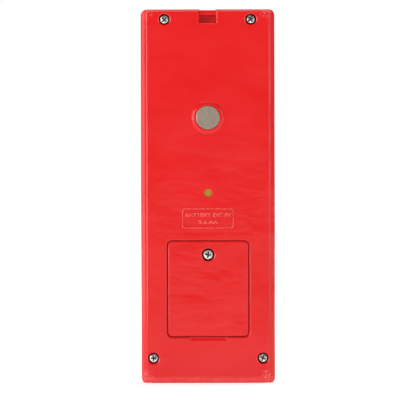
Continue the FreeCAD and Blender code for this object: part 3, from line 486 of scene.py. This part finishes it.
def prism(points, y_low, y_high, ease=0.0):
    """Flat closed outline in the XZ plane, from y_low to y_high, its y_low face eased in by ease."""
    n = len(points)
    cx, cz = sum(p[0] for p in points) / n, sum(p[1] for p in points) / n
    size = max(math.hypot(x - cx, z - cz) for x, z in points)
    k = 1 - ease / size if size else 1
    rows = [[(x, y_high, z) for x, z in points]]
    if ease:
        rows.append([(x, y_low + min(ease, (y_high - y_low) * 0.6), z) for x, z in points])
    rows.append([(cx + (x - cx) * k, y_low, cz + (z - cz) * k) for x, z in points])
    return loft(rows, True, True)


def band(outer, inner, y_low, y_high):
    """Closed flat ring between two equal outlines in the XZ plane."""
    rows = [[(x, y_low, z) for x, z in outer], [(x, y_high, z) for x, z in outer],
            [(x, y_high, z) for x, z in inner], [(x, y_low, z) for x, z in inner], [(x, y_low, z) for x, z in outer]]
    n = len(outer)
    verts = [v for row in rows[:4] for v in row]
    faces = [(i * n + j, i * n + (j + 1) % n, ((i + 1) % 4) * n + (j + 1) % n, ((i + 1) % 4) * n + j) for i in range(4) for j in range(n)]
    return verts, faces


def circle(x, z, r, n=40, squash=1.0, tilt=0.0):
    out = []
    for i in range(n):
        a = 2 * math.pi * i / n
        u, w = r * math.cos(a), r * squash * math.sin(a)
        out.append((x + u * math.cos(tilt) - w * math.sin(tilt), z + u * math.sin(tilt) + w * math.cos(tilt)))
    return out


def box_shape(x0, x1, z0, z1):
    return [(x0, z0), (x1, z0), (x1, z1), (x0, z1)]


def bar_shape(x0, z0, x1, z1, w, n=6):
    """Straight stroke with round ends."""
    a = math.atan2(z1 - z0, x1 - x0)
    out = []
    for i in range(n + 1):
        t = a - math.pi / 2 + math.pi * i / n
        out.append((x1 + w / 2 * math.cos(t), z1 + w / 2 * math.sin(t)))
    for i in range(n + 1):
        t = a + math.pi / 2 + math.pi * i / n
        out.append((x0 + w / 2 * math.cos(t), z0 + w / 2 * math.sin(t)))
    return out


# ------------------------------------------------------------------ screws: domed head, tapered cross recess with a painted-shade floor, rolled thread
def screw_shells(x, z, y_top, y_tip, head_r, head_h, shank_r, turn, mat, dark, pitch=0.0009):
    n = 144
    arm_r, half, depth = head_r * 0.72, head_r * 0.19, head_h * 0.60
    ca, sa = math.cos(turn), math.sin(turn)

    def arm(a, b):
        floor = depth * max(0.0, 1 - (abs(a) / arm_r) ** 2.4)
        wall = smooth(0.0, head_r * 0.055, half * (1 - 0.12 * abs(a) / arm_r) - abs(b))
        return floor * wall

    def height(u, w):
        r = math.hypot(u, w)
        p, q = u * ca + w * sa, -u * sa + w * ca
        core = depth * 1.12 * smooth(0.0, 1.0, 1 - r / (head_r * 0.36))
        dome = head_h * 0.12 * (r / head_r) ** 2
        return y_top - dome - max(arm(p, q), arm(q, p), core)

    rows = []
    steps = 36
    for i in range(1, steps + 1):
        r = head_r * 0.91 * i / steps
        rows.append([(x + r * math.cos(t), height(r * math.cos(t), r * math.sin(t)), z + r * math.sin(t)) for t in [2 * math.pi * j / n for j in range(n)]])
    edge = height(head_r * 0.91, 0)
    for i in range(1, 9):
        t = math.pi / 2 * i / 8
        r = head_r * (0.91 + 0.09 * math.sin(t))
        y = edge - head_h * 0.30 * (1 - math.cos(t))
        rows.append([(x + r * math.cos(a), y, z + r * math.sin(a)) for a in [2 * math.pi * j / n for j in range(n)]])
    y_under = y_top - head_h
    for r, y in ((head_r, y_under + 0.00012), (head_r - 0.00012, y_under)):
        rows.append([(x + r * math.cos(a), y, z + r * math.sin(a)) for a in [2 * math.pi * j / n for j in range(n)]])
    centre_y = height(0, 0)
    head_v, head_f = loft(rows, (x, centre_y, z), (x, y_under, z))

    def sunk(v):
        r = math.hypot(v[0] - x, v[2] - z)
        return r < head_r * 0.8 and y_top - head_h * 0.12 * (r / head_r) ** 2 - v[1] > 0.00016

    # faces sunk into the cross recess take the dark painted-shade metal
    low_f = [f for f in head_f if sum(sunk(head_v[i]) for i in f) * 2 >= len(f)]
    low_set = set(low_f)
    high_f = [f for f in head_f if f not in low_set]
    m = 36
    length = y_under - y_tip
    per = 8
    count = max(12, int(length / pitch * per))
    shank = []
    for i in range(count + 1):
        y = y_under + 0.0002 - (length + 0.0002) * i / count
        into = y - y_tip
        taper = min(1.0, 0.12 + into / 0.0014)
        ring = []
        for j in range(m):
            a = 2 * math.pi * j / m
            f = (y / pitch + j / m) % 1.0
            crest = max(0.0, 1 - abs(2 * f - 1) * 1.7)
            r = (shank_r * 0.84 + shank_r * 0.16 * crest) * taper
            if y > y_under - 0.0004:
                r = shank_r * 0.84
            ring.append((x + r * math.cos(a), y, z + r * math.sin(a)))
        shank.append(ring)
    thread = loft(shank, (x, y_under + 0.0002, z), (x, y_tip, z))
    return [(head_v, high_f, mat), (head_v, low_f, RECESS_SHADE), (*thread, dark)]


SCREW_HEAD = metal("screw_head_zinc", (0.78, 0.75, 0.73), 0.25, (900, 900, 900), depth=0.000004)
_spots = SCREW_HEAD.noise(1150, 3, 0.70)
SCREW_HEAD.to("Base Color", SCREW_HEAD.ramp(_spots, [(0.36, (0.20, 0.16, 0.15)), (0.46, (0.62, 0.58, 0.56)), (0.58, (0.95, 0.92, 0.88))]))
SCREW_HEAD.bump(_spots, 0.00005)
# painted shade: a dark metal for the sunken faces of the cross recess
RECESS_SHADE = metal("screw_recess_shade", (0.115, 0.085, 0.078), 0.50, (900, 900, 900), depth=0.000004)

shells = []
for i, (lo, hi) in enumerate(case_boxes):
    cx, cz = (lo.x + hi.x) / 2, (lo.z + hi.z) / 2
    shells += screw_shells(cx, cz, hi.y, lo.y, (hi.x - lo.x) / 2, 0.0018, 0.00125, math.radians(17 + 37 * i), SCREW_HEAD, ZINC)
build("case_screw_set", shells, "housing", ["case_screws"], 50)
lo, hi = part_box("battery_cover_screw")
build("cover_screw_detailed", screw_shells((lo.x + hi.x) / 2, (lo.z + hi.z) / 2, hi.y, lo.y, (hi.x - lo.x) / 2, 0.0019, 0.0013, math.radians(8), SCREW_HEAD, ZINC, 0.0008),
      "battery_door_screw", ["battery_cover_screw"], 50)


# ------------------------------------------------------------------ lettering helper
def lettering(name, lines, body, mat, back, face_y, up, bevel=0.0, weight=0.0):
    """Raised or printed characters; lines are (text, size, x, z, stretch). back: read from the +Y side, else from -Y."""
    merged = bmesh.new()
    for text, size, x, z, stretch in lines:
        cu = bpy.data.curves.new(name + "_c", "FONT")
        cu.body = text
        cu.size = size
        cu.align_x = "CENTER"
        cu.align_y = "CENTER"
        cu.resolution_u = 4
        cu.offset = weight
        cu.extrude = up / 2 - bevel
        cu.bevel_depth = bevel
        cu.bevel_resolution = 1
        tmp = bpy.data.objects.new(name + "_t", cu)
        scene.collection.objects.link(tmp)
        bpy.context.view_layer.update()
        mesh = bpy.data.meshes.new_from_object(tmp.evaluated_get(bpy.context.evaluated_depsgraph_get()))
        bpy.data.objects.remove(tmp)
        side = 1.0 if back else -1.0
        turn = Matrix(((-side * stretch, 0, 0, x), (0, 0, side, face_y + side * up / 2), (0, 1, 0, z), (0, 0, 0, 1)))
        mesh.transform(turn)
        merged.from_mesh(mesh)
        bpy.data.meshes.remove(mesh)
        bpy.data.curves.remove(cu)
    bmesh.ops.remove_doubles(merged, verts=merged.verts, dist=2e-7)
    bmesh.ops.recalc_face_normals(merged, faces=merged.faces)
    out_mesh = bpy.data.meshes.new(name)
    merged.to_mesh(out_mesh)
    merged.free()
    out_mesh.materials.append(mat.m)
    obj = bpy.data.objects.new(name, out_mesh)
    scene.collection.objects.link(obj)
    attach(obj, body)
    return obj


lettering("label_lettering", [("BATTERY DC 3V", 0.00265, 0.0, LABEL_Z + 0.0018, 1.30), ("2 x AA", 0.00255, 0.0, LABEL_Z - 0.0021, 1.45)],
          "housing", RED_REAR, True, YR - 0.00005, 0.00043, 0.00012, 0.00006)

# ------------------------------------------------------------------ display figures
glass_lo, glass_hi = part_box("lcd_glass")
GY = glass_lo.y
gx, gz = (glass_lo.x + glass_hi.x) / 2, (glass_lo.z + glass_hi.z) / 2
DIGITS = {0: "abcdef", 1: "bc", 2: "abdeg", 4: "bcfg"}


def segments(value, x, z, w, h, t, slant=0.09):
    """Hexagonal bars of one seven-bar figure centred at (x, z)."""
    g = t * 0.14
    hw, hh = w / 2 - t / 2, h / 2 - t / 2

    def lying(zc):
        a, b = -hw + g, hw - g
        return [(a, zc), (a + t / 2, zc + t / 2), (b - t / 2, zc + t / 2), (b, zc), (b - t / 2, zc - t / 2), (a + t / 2, zc - t / 2)]

    def standing(xc, z0, z1):
        a, b = z0 + g, z1 - g
        return [(xc, a), (xc + t / 2, a + t / 2), (xc + t / 2, b - t / 2), (xc, b), (xc - t / 2, b - t / 2), (xc - t / 2, a + t / 2)]

    shapes = {"a": lying(hh), "g": lying(0), "d": lying(-hh), "b": standing(hw, 0, hh), "c": standing(hw, -hh, 0),
              "f": standing(-hw, 0, hh), "e": standing(-hw, -hh, 0)}
    return [[(x + px + pz * slant, z + pz) for px, pz in shapes[k]] for k in DIGITS[value]]


def note(x, z, s, stem_w=0.16):
    """A crotchet: tilted head and stem, height about s."""
    return [circle(x, z, s * 0.20, 28, 0.74, math.radians(24)), box_shape(x + s * 0.19 - s * stem_w / 2 * 0.6, x + s * 0.19 + s * stem_w / 2 * 0.4, z + s * 0.03, z + s * 0.86)]


def mark_parts(shapes, face_y, thick, mat, ease=0.0):
    """Marks on a face that looks to -Y."""
    return [(*prism(p, face_y - thick, face_y + thick * 0.3, ease), mat) for p in shapes]


marks = []
for value, dx in ((1, -0.0006), (2, 0.0083), (0, 0.0172)):
    marks += segments(value, gx + dx, gz + 0.0008, 0.0072, 0.0135, 0.00135)
marks += note(gx - 0.0165, gz - 0.0036, 0.0078)
marks += [box_shape(gx - 0.0115, gx - 0.0082, gz + 0.0004, gz + 0.0010), box_shape(gx - 0.0115, gx - 0.0082, gz - 0.0010, gz - 0.0004)]
for i in range(4):
    x0 = gx - 0.0195 + 0.0036 * i
    marks.append(box_shape(x0, x0 + 0.0026, gz - 0.0102, gz - 0.0086))
for value, dx in ((4, 0.0105), (4, 0.0165)):
    marks += segments(value, gx + dx, gz - 0.0096, 0.0022, 0.0040, 0.00048)
marks.append(bar_shape(gx + 0.0127, gz - 0.0113, gx + 0.0145, gz - 0.0079, 0.0004))
# battery mark, top left
marks += [box_shape(gx - 0.0193, gx - 0.0189, gz + 0.0088, gz + 0.0112), box_shape(gx - 0.0147, gx - 0.0143, gz + 0.0088, gz + 0.0112),
          box_shape(gx - 0.0189, gx - 0.0147, gz + 0.0108, gz + 0.0112), box_shape(gx - 0.0189, gx - 0.0147, gz + 0.0088, gz + 0.0092),
          box_shape(gx - 0.0143, gx - 0.0138, gz + 0.0094, gz + 0.0106), box_shape(gx - 0.0185, gx - 0.0172, gz + 0.0095, gz + 0.0105),
          box_shape(gx - 0.0169, gx - 0.0156, gz + 0.0095, gz + 0.0105)]
build("display_figures", mark_parts(marks, GY, 0.00003, SEGMENT), "housing", (), 30)

# ------------------------------------------------------------------ printed marks on the keys, the dial surround and the slider
KEY_MARKS = {
    "start_stop": lambda x, z: [[(x - 0.0046, z - 0.0021), (x - 0.0010, z), (x - 0.0046, z + 0.0021)], box_shape(x + 0.0012, x + 0.0050, z - 0.0019, z + 0.0019)],
    "beat": lambda x, z: note(x - 0.0004, z - 0.0012, 0.0042, 0.2) + [[(x + 0.00035, z + 0.0024), (x + 0.0016, z + 0.0012), (x + 0.0017, z + 0.0004), (x + 0.0013, z + 0.0011), (x + 0.00035, z + 0.0017)]],
    "tap": lambda x, z: [circle(x, z, 0.0007, 24)],
    "tone": lambda x, z: [box_shape(x - 0.0011, x - 0.0007, z - 0.0002, z + 0.0023), box_shape(x + 0.0007, x + 0.0011, z - 0.0002, z + 0.0023),
                          box_shape(x - 0.0011, x + 0.0011, z - 0.0006, z - 0.0002), box_shape(x - 0.0002, x + 0.0002, z - 0.0023, z - 0.0006)],
    "light": lambda x, z: [circle(x, z, 0.0009, 24)] + [bar_shape(x + 0.0014 * math.cos(a), z + 0.0014 * math.sin(a), x + 0.0021 * math.cos(a), z + 0.0021 * math.sin(a), 0.0003)
                                                       for a in [math.pi / 4 * k for k in range(8)]],
}
key_xz = {}
for key, shape in KEY_MARKS.items():
    lo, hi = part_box(key + "_button")
    x, z = (lo.x + hi.x) / 2, (lo.z + hi.z) / 2
    key_xz[key] = (x, z, lo.y)
    mat = INK if key == "start_stop" else PRINT
    parts = mark_parts(shape(x, z), lo.y, 0.00003, mat)
    if key == "tap":
        for r in (0.0014, 0.0021):
            parts.append((*band(circle(x, z, r + 0.00018), circle(x, z, r - 0.00018), lo.y - 0.00003, lo.y + 0.00001), mat))
    build(key + "_mark", parts, key + "_key", (), 30)

dial_lo, dial_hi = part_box("tempo_dial")
DX, DZ = (dial_lo.x + dial_hi.x) / 2, (dial_lo.z + dial_hi.z) / 2
DR = (dial_hi.x - dial_lo.x) / 2
ticks = []
for i in range(31):
    a = math.radians(-60 + 300 * i / 30)
    long = 0.0020 if i % 5 == 0 else 0.0012
    c, s_ = math.cos(a), math.sin(a)
    r0 = 0.0218
    ticks.append(bar_shape(DX + r0 * c, DZ + r0 * s_, DX + (r0 + long) * c, DZ + (r0 + long) * s_, 0.00045 if i % 5 == 0 else 0.0003))
minus_x, plus_x, sign_z = DX - 0.0075, DX + 0.0075, DZ - 0.0242
ticks += [bar_shape(minus_x - 0.0011, sign_z, minus_x + 0.0011, sign_z, 0.0005), bar_shape(plus_x - 0.0011, sign_z, plus_x + 0.0011, sign_z, 0.0005),
          bar_shape(plus_x, sign_z - 0.0011, plus_x, sign_z + 0.0011, 0.0005)]
# volume wedge under the slider, and a small loudspeaker mark beside it
sl_lo, sl_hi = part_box("volume_slider")
vz = (sl_lo.z + sl_hi.z) / 2
ticks.append([(-0.0052, vz - 0.0042), (0.0052, vz - 0.0042), (0.0052, vz - 0.0029)])
ticks += [[(-0.0011, vz + 0.0042), (-0.0003, vz + 0.0042), (0.0006, vz + 0.0034), (0.0006, vz + 0.0062), (-0.0003, vz + 0.0054), (-0.0011, vz + 0.0054)]]
for k in (0, 1):
    arc = [(0.0006 + (0.0008 + 0.0006 * k) * math.cos(t), vz + 0.0048 + (0.0008 + 0.0006 * k) * math.sin(t)) for t in [math.radians(-50 + 10 * j) for j in range(11)]]
    back_arc = [(0.0006 + (0.0011 + 0.0006 * k) * math.cos(t), vz + 0.0048 + (0.0011 + 0.0006 * k) * math.sin(t)) for t in [math.radians(50 - 10 * j) for j in range(11)]]
    ticks.append(arc + back_arc)
build("front_marks", mark_parts(ticks, YF, 0.00003, PRINT), "housing", (), 30)

# ------------------------------------------------------------------ tempo dial: concave face, finger dimple, scooped rim
FACE = dial_lo.y
SKIRT = -0.0114
HUB_END = dial_hi.y
n = 240
angles = [2 * math.pi * j / n for j in range(n)]
step = 2 * math.pi / 30


def scoop(a):
    d = (a + step / 2) % step - step / 2
    far = (DR + 0.00055) * math.sin(d)
    if abs(far) >= 0.001:
        return DR
    return min(DR, (DR + 0.00055) * math.cos(d) - math.sqrt(0.001 ** 2 - far * far))


def face_y(r, a):
    x, z = r * math.cos(a), r * math.sin(a)
    dish = 0.00055 * (1 - smooth(0.0, 0.0158, r)) + 0.00010
    if r > 0.0163:
        dish = 0.00010 * (1 - smooth(0.0163, 0.0168, r))
    away = math.hypot(x, z - 0.0112)
    dent = 0.0
    if away < 0.0042:
        dent = 0.00115 * (1 - smooth(0.0, 0.0042, away))
    return FACE + max(dish, 0.0) + dent


rows = []
radii = [0.0004 * i for i in range(1, 41)] + [0.0162, 0.01635, 0.0165, 0.0167, 0.0169, 0.0172, 0.0175, 0.0178]
for r in radii:
    rows.append([(DX + r * math.cos(a), face_y(r, a), DZ + r * math.sin(a)) for a in angles])
for i in range(1, 9):
    t = math.pi / 2 * i / 8
    r = 0.0178 + (DR - 0.0178) * math.sin(t)
    y = FACE + (DR - 0.0178) * 0.75 * (1 - math.cos(t))
    rows.append([(DX + min(r, scoop(a)) * math.cos(a), y, DZ + min(r, scoop(a)) * math.sin(a)) for a in angles])
for inset, y in ((0.0, SKIRT - 0.0002), (0.0002, SKIRT)):
    rows.append([(DX + (scoop(a) - inset) * math.cos(a), y, DZ + (scoop(a) - inset) * math.sin(a)) for a in angles])
for r, y in ((0.0168, SKIRT), (0.0168, FACE + 0.0015), (0.0050, FACE + 0.0015), (0.0050, HUB_END), (0.0030, HUB_END), (0.0030, FACE + 0.0018)):
    rows.append([(DX + r * math.cos(a), y, DZ + r * math.sin(a)) for a in angles])
DIAL = satin_plastic("dial_plastic", (0.030, 0.030, 0.033), 0.36, 8)
_dx, _dy, _dz = DIAL.xyz()
_rad = DIAL.math("SQRT", DIAL.math("ADD", DIAL.math("POWER", DIAL.math("SUBTRACT", _dx, DX), 2.0), DIAL.math("POWER", DIAL.math("SUBTRACT", _dz, DZ), 2.0)))
_turned = DIAL.math("SINE", DIAL.math("MULTIPLY", _rad, 2 * math.pi / 0.00032))
DIAL.bump(_turned, 0.000006)
build("tempo_dial_detailed", [(*loft(rows, (DX, face_y(0.0, 0.0), DZ), (DX, FACE + 0.0018, DZ)), DIAL)], "tempo_dial_body", ["tempo_dial"], 40)

# ------------------------------------------------------------------ cells: crimped can, printed jacket, sealing ring and positive nub
JACKET_A = Mat("cell_jacket_body", (0.012, 0.085, 0.075), rough=0.26)
JACKET_A.to("Base Color", JACKET_A.ramp(JACKET_A.noise(260, 3), [(0.3, (0.010, 0.074, 0.066)), (0.7, (0.015, 0.098, 0.087))]))
JACKET_A.to("Roughness", JACKET_A.fit(JACKET_A.noise(500, 3), 0.3, 0.7, 0.2, 0.34))
JACKET_A.bump(JACKET_A.noise(900, 2), 0.000006)
JACKET_B = Mat("cell_jacket_band", (0.66, 0.66, 0.65), rough=0.26, metal=0.6)
JACKET_B.to("Base Color", JACKET_B.ramp(JACKET_B.noise(260, 3), [(0.3, (0.58, 0.58, 0.57)), (0.7, (0.70, 0.70, 0.69))]))
JACKET_B.to("Roughness", JACKET_B.fit(JACKET_B.noise(500, 3), 0.3, 0.7, 0.22, 0.36))
JACKET_B.bump(JACKET_B.noise(900, 2), 0.000006)


def cell(name, node):
    lo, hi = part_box(node)
    cx, cy = (lo.x + hi.x) / 2, (lo.y + hi.y) / 2
    r = (hi.x - lo.x) / 2
    # the positive end is the one whose outermost ring of points is narrow
    top = [v.co for v in N[node].data.vertices if v.co.z > hi.z - 1e-5]
    up = max(math.hypot(c.x - cx, c.y - cy) for c in top) < r * 0.6
    s = 1 if up else -1
    z0 = lo.z if up else hi.z
    L = hi.z - lo.z
    m = 72

    def ring(rr, d):
        return [(cx + rr * math.cos(2 * math.pi * j / m), cy + rr * math.sin(2 * math.pi * j / m), z0 + s * d) for j in range(m)]

    k = r - 0.00008
    can_low = [ring(0.0042, 0.00012), ring(0.0046, 0.0), ring(k - 0.0008, 0.0), ring(k - 0.00025, 0.00012), ring(k - 0.00002, 0.00045), ring(k, 0.0010)]
    body = [ring(k, 0.0010), ring(r - 0.00002, 0.00108), ring(r, 0.0012), ring(r, L - 0.0145), ring(r, L - 0.0140)]
    bandp = [ring(r, L - 0.0140), ring(r, L - 0.0042), ring(r - 0.00002, L - 0.0041), ring(k, L - 0.0040)]
    can_top = [ring(k, L - 0.0040), ring(k, L - 0.0030), ring(k - 0.0001, L - 0.0024), ring(k - 0.0004, L - 0.00205), ring(k - 0.0009, L - 0.00195), ring(k - 0.0013, L - 0.0021)]
    seal = [ring(k - 0.0013, L - 0.0021), ring(k - 0.0016, L - 0.0019), ring(0.0040, L - 0.0019), ring(0.0037, L - 0.0020)]
    nub = [ring(0.0037, L - 0.0020), ring(0.0033, L - 0.0017), ring(0.00290, L - 0.0016), ring(0.00275, L - 0.0014), ring(0.00272, L - 0.00035), ring(0.0026, L - 0.0001), ring(0.0022, L)]
    parts = []
    c1 = loft(can_low, (cx, cy, z0 + s * 0.00012))
    parts.append((*c1, CAN))
    for rows_, mat in ((body, JACKET_A), (bandp, JACKET_B), (can_top, CAN), (seal, BLACK)):
        parts.append((*loft(rows_), mat))
    parts.append((*loft(nub, None, (cx, cy, z0 + s * L)), NICKEL))
    return build(name, parts, "housing", [node], 50)


cell("cell_right_detailed", "cell_right")
cell("cell_left_detailed", "cell_left")

# ------------------------------------------------------------------ camera, floor, light
cam_data = bpy.data.cameras.new("camera")
cam = bpy.data.objects.new("camera", cam_data)
scene.collection.objects.link(cam)
scene.camera = cam
cam_data.sensor_width = 36.0
FRAME_M = 0.548e-3 * 416
DIST = 1.9
cam_data.lens = 36.0 * DIST / FRAME_M
cam_data.clip_end = 100
aim = Vector((0.0, YR, (383.3 - 208.0) * 0.548e-3))
cam.location = aim + Vector((0, DIST, 0))
lean = Matrix.Rotation(math.radians(-0.15), 3, "Z")      # the object leans a touch in its frame
cam.rotation_euler = (Euler((math.radians(90), 0, math.radians(180))).to_matrix() @ lean).to_euler()


def area(name, at, look, w, h, power, colour=(1, 1, 1)):
    data = bpy.data.lights.new(name, "AREA")
    data.shape = "RECTANGLE"
    data.size, data.size_y = w, h
    data.energy = power
    data.color = colour
    o = bpy.data.objects.new(name, data)
    scene.collection.objects.link(o)
    o.location = at
    o.rotation_euler = (Vector(look) - Vector(at)).to_track_quat("-Z", "Y").to_euler()
    return o


MID = (0, 0, 0.1)
area("key_left", (0.80, 0.87, 0.31), (0, 0, 0.11), 0.85, 0.60, 8.0)
area("side_left", (1.5, -0.06, 0.45), MID, 1.15, 1.3, 10.8, (0.76, 1.0, 1.0))
area("overhead", (0, -0.05, 1.6), MID, 1.3, 0.8, 7.2)
area("fill_right", (-1.40, 0.98, 0.55), MID, 0.95, 1.1, 6.6)
area("panel_right", (-1.5, 0.0, 0.45), MID, 0.8, 1.2, 0.8)
area("front_soft", (-0.7, -1.5, 1.3), MID, 1.2, 1.0, 20.0)

world = bpy.data.worlds.new("studio")
scene.world = world
world.use_nodes = True
wt = world.node_tree
wt.nodes.clear()
out = wt.nodes.new("ShaderNodeOutputWorld")
seen = wt.nodes.new("ShaderNodeBackground")
seen.inputs["Color"].default_value = (1, 1, 1, 1)
seen.inputs["Strength"].default_value = 1.0
lit = wt.nodes.new("ShaderNodeBackground")
lit.inputs["Color"].default_value = (1, 1, 1, 1)
# a pale wall low behind the camera, fading upward and to the sides


def world_fit(value, a, b, lo, hi):
    node = wt.nodes.new("ShaderNodeMapRange")
    node.interpolation_type = "SMOOTHSTEP"
    for i, v in enumerate((a, b, lo, hi)):
        node.inputs[1 + i].default_value = v
    wt.links.new(value, node.inputs[0])
    return node.outputs[0]


def world_math(op, a, b=0.0):
    node = wt.nodes.new("ShaderNodeMath")
    node.operation = op
    for i, v in enumerate((a, b)):
        if isinstance(v, (int, float)):
            node.inputs[i].default_value = v
        else:
            wt.links.new(v, node.inputs[i])
    return node.outputs[0]


way = wt.nodes.new("ShaderNodeTexCoord").outputs["Generated"]
split = wt.nodes.new("ShaderNodeSeparateXYZ")
wt.links.new(way, split.inputs[0])
rise = world_fit(split.outputs[2], -0.03, 0.075, 1.0, 0.0)
aside = world_fit(world_math("ABSOLUTE", split.outputs[0]), 0.05, 0.30, 1.0, 0.2)
ahead = world_fit(split.outputs[1], 0.2, 0.6, 0.0, 1.0)
wall = world_math("MULTIPLY", world_math("MULTIPLY", rise, aside), ahead)
wt.links.new(world_math("ADD", world_math("MULTIPLY", wall, 0.42), 0.28), lit.inputs["Strength"])
path = wt.nodes.new("ShaderNodeLightPath")
both = wt.nodes.new("ShaderNodeMixShader")
wt.links.new(path.outputs["Is Camera Ray"], both.inputs[0])
wt.links.new(lit.outputs[0], both.inputs[1])
wt.links.new(seen.outputs[0], both.inputs[2])
wt.links.new(both.outputs[0], out.inputs[0])

bm = bmesh.new()
bmesh.ops.create_grid(bm, x_segments=1, y_segments=1, size=6)
floor_mesh = bpy.data.meshes.new("floor")
bm.to_mesh(floor_mesh)
bm.free()
floor = bpy.data.objects.new("floor", floor_mesh)
scene.collection.objects.link(floor)
FLOOR = Mat("pale_floor", (0.80, 0.80, 0.80), rough=0.7)
FLOOR.b.inputs["Emission Color"].default_value = (1, 1, 1, 1)
_fx, _fy, _fz = FLOOR.xyz()
_away = FLOOR.math("SQRT", FLOOR.math("ADD", FLOOR.math("POWER", FLOOR.math("SUBTRACT", _fx, 0.2), 2.0), FLOOR.math("POWER", FLOOR.math("SUBTRACT", _fy, 0.6), 2.0)))
FLOOR.to("Emission Strength", FLOOR.fit(_away, 0.55, 2.6, 0.42, 0.95))
dress(floor, FLOOR)
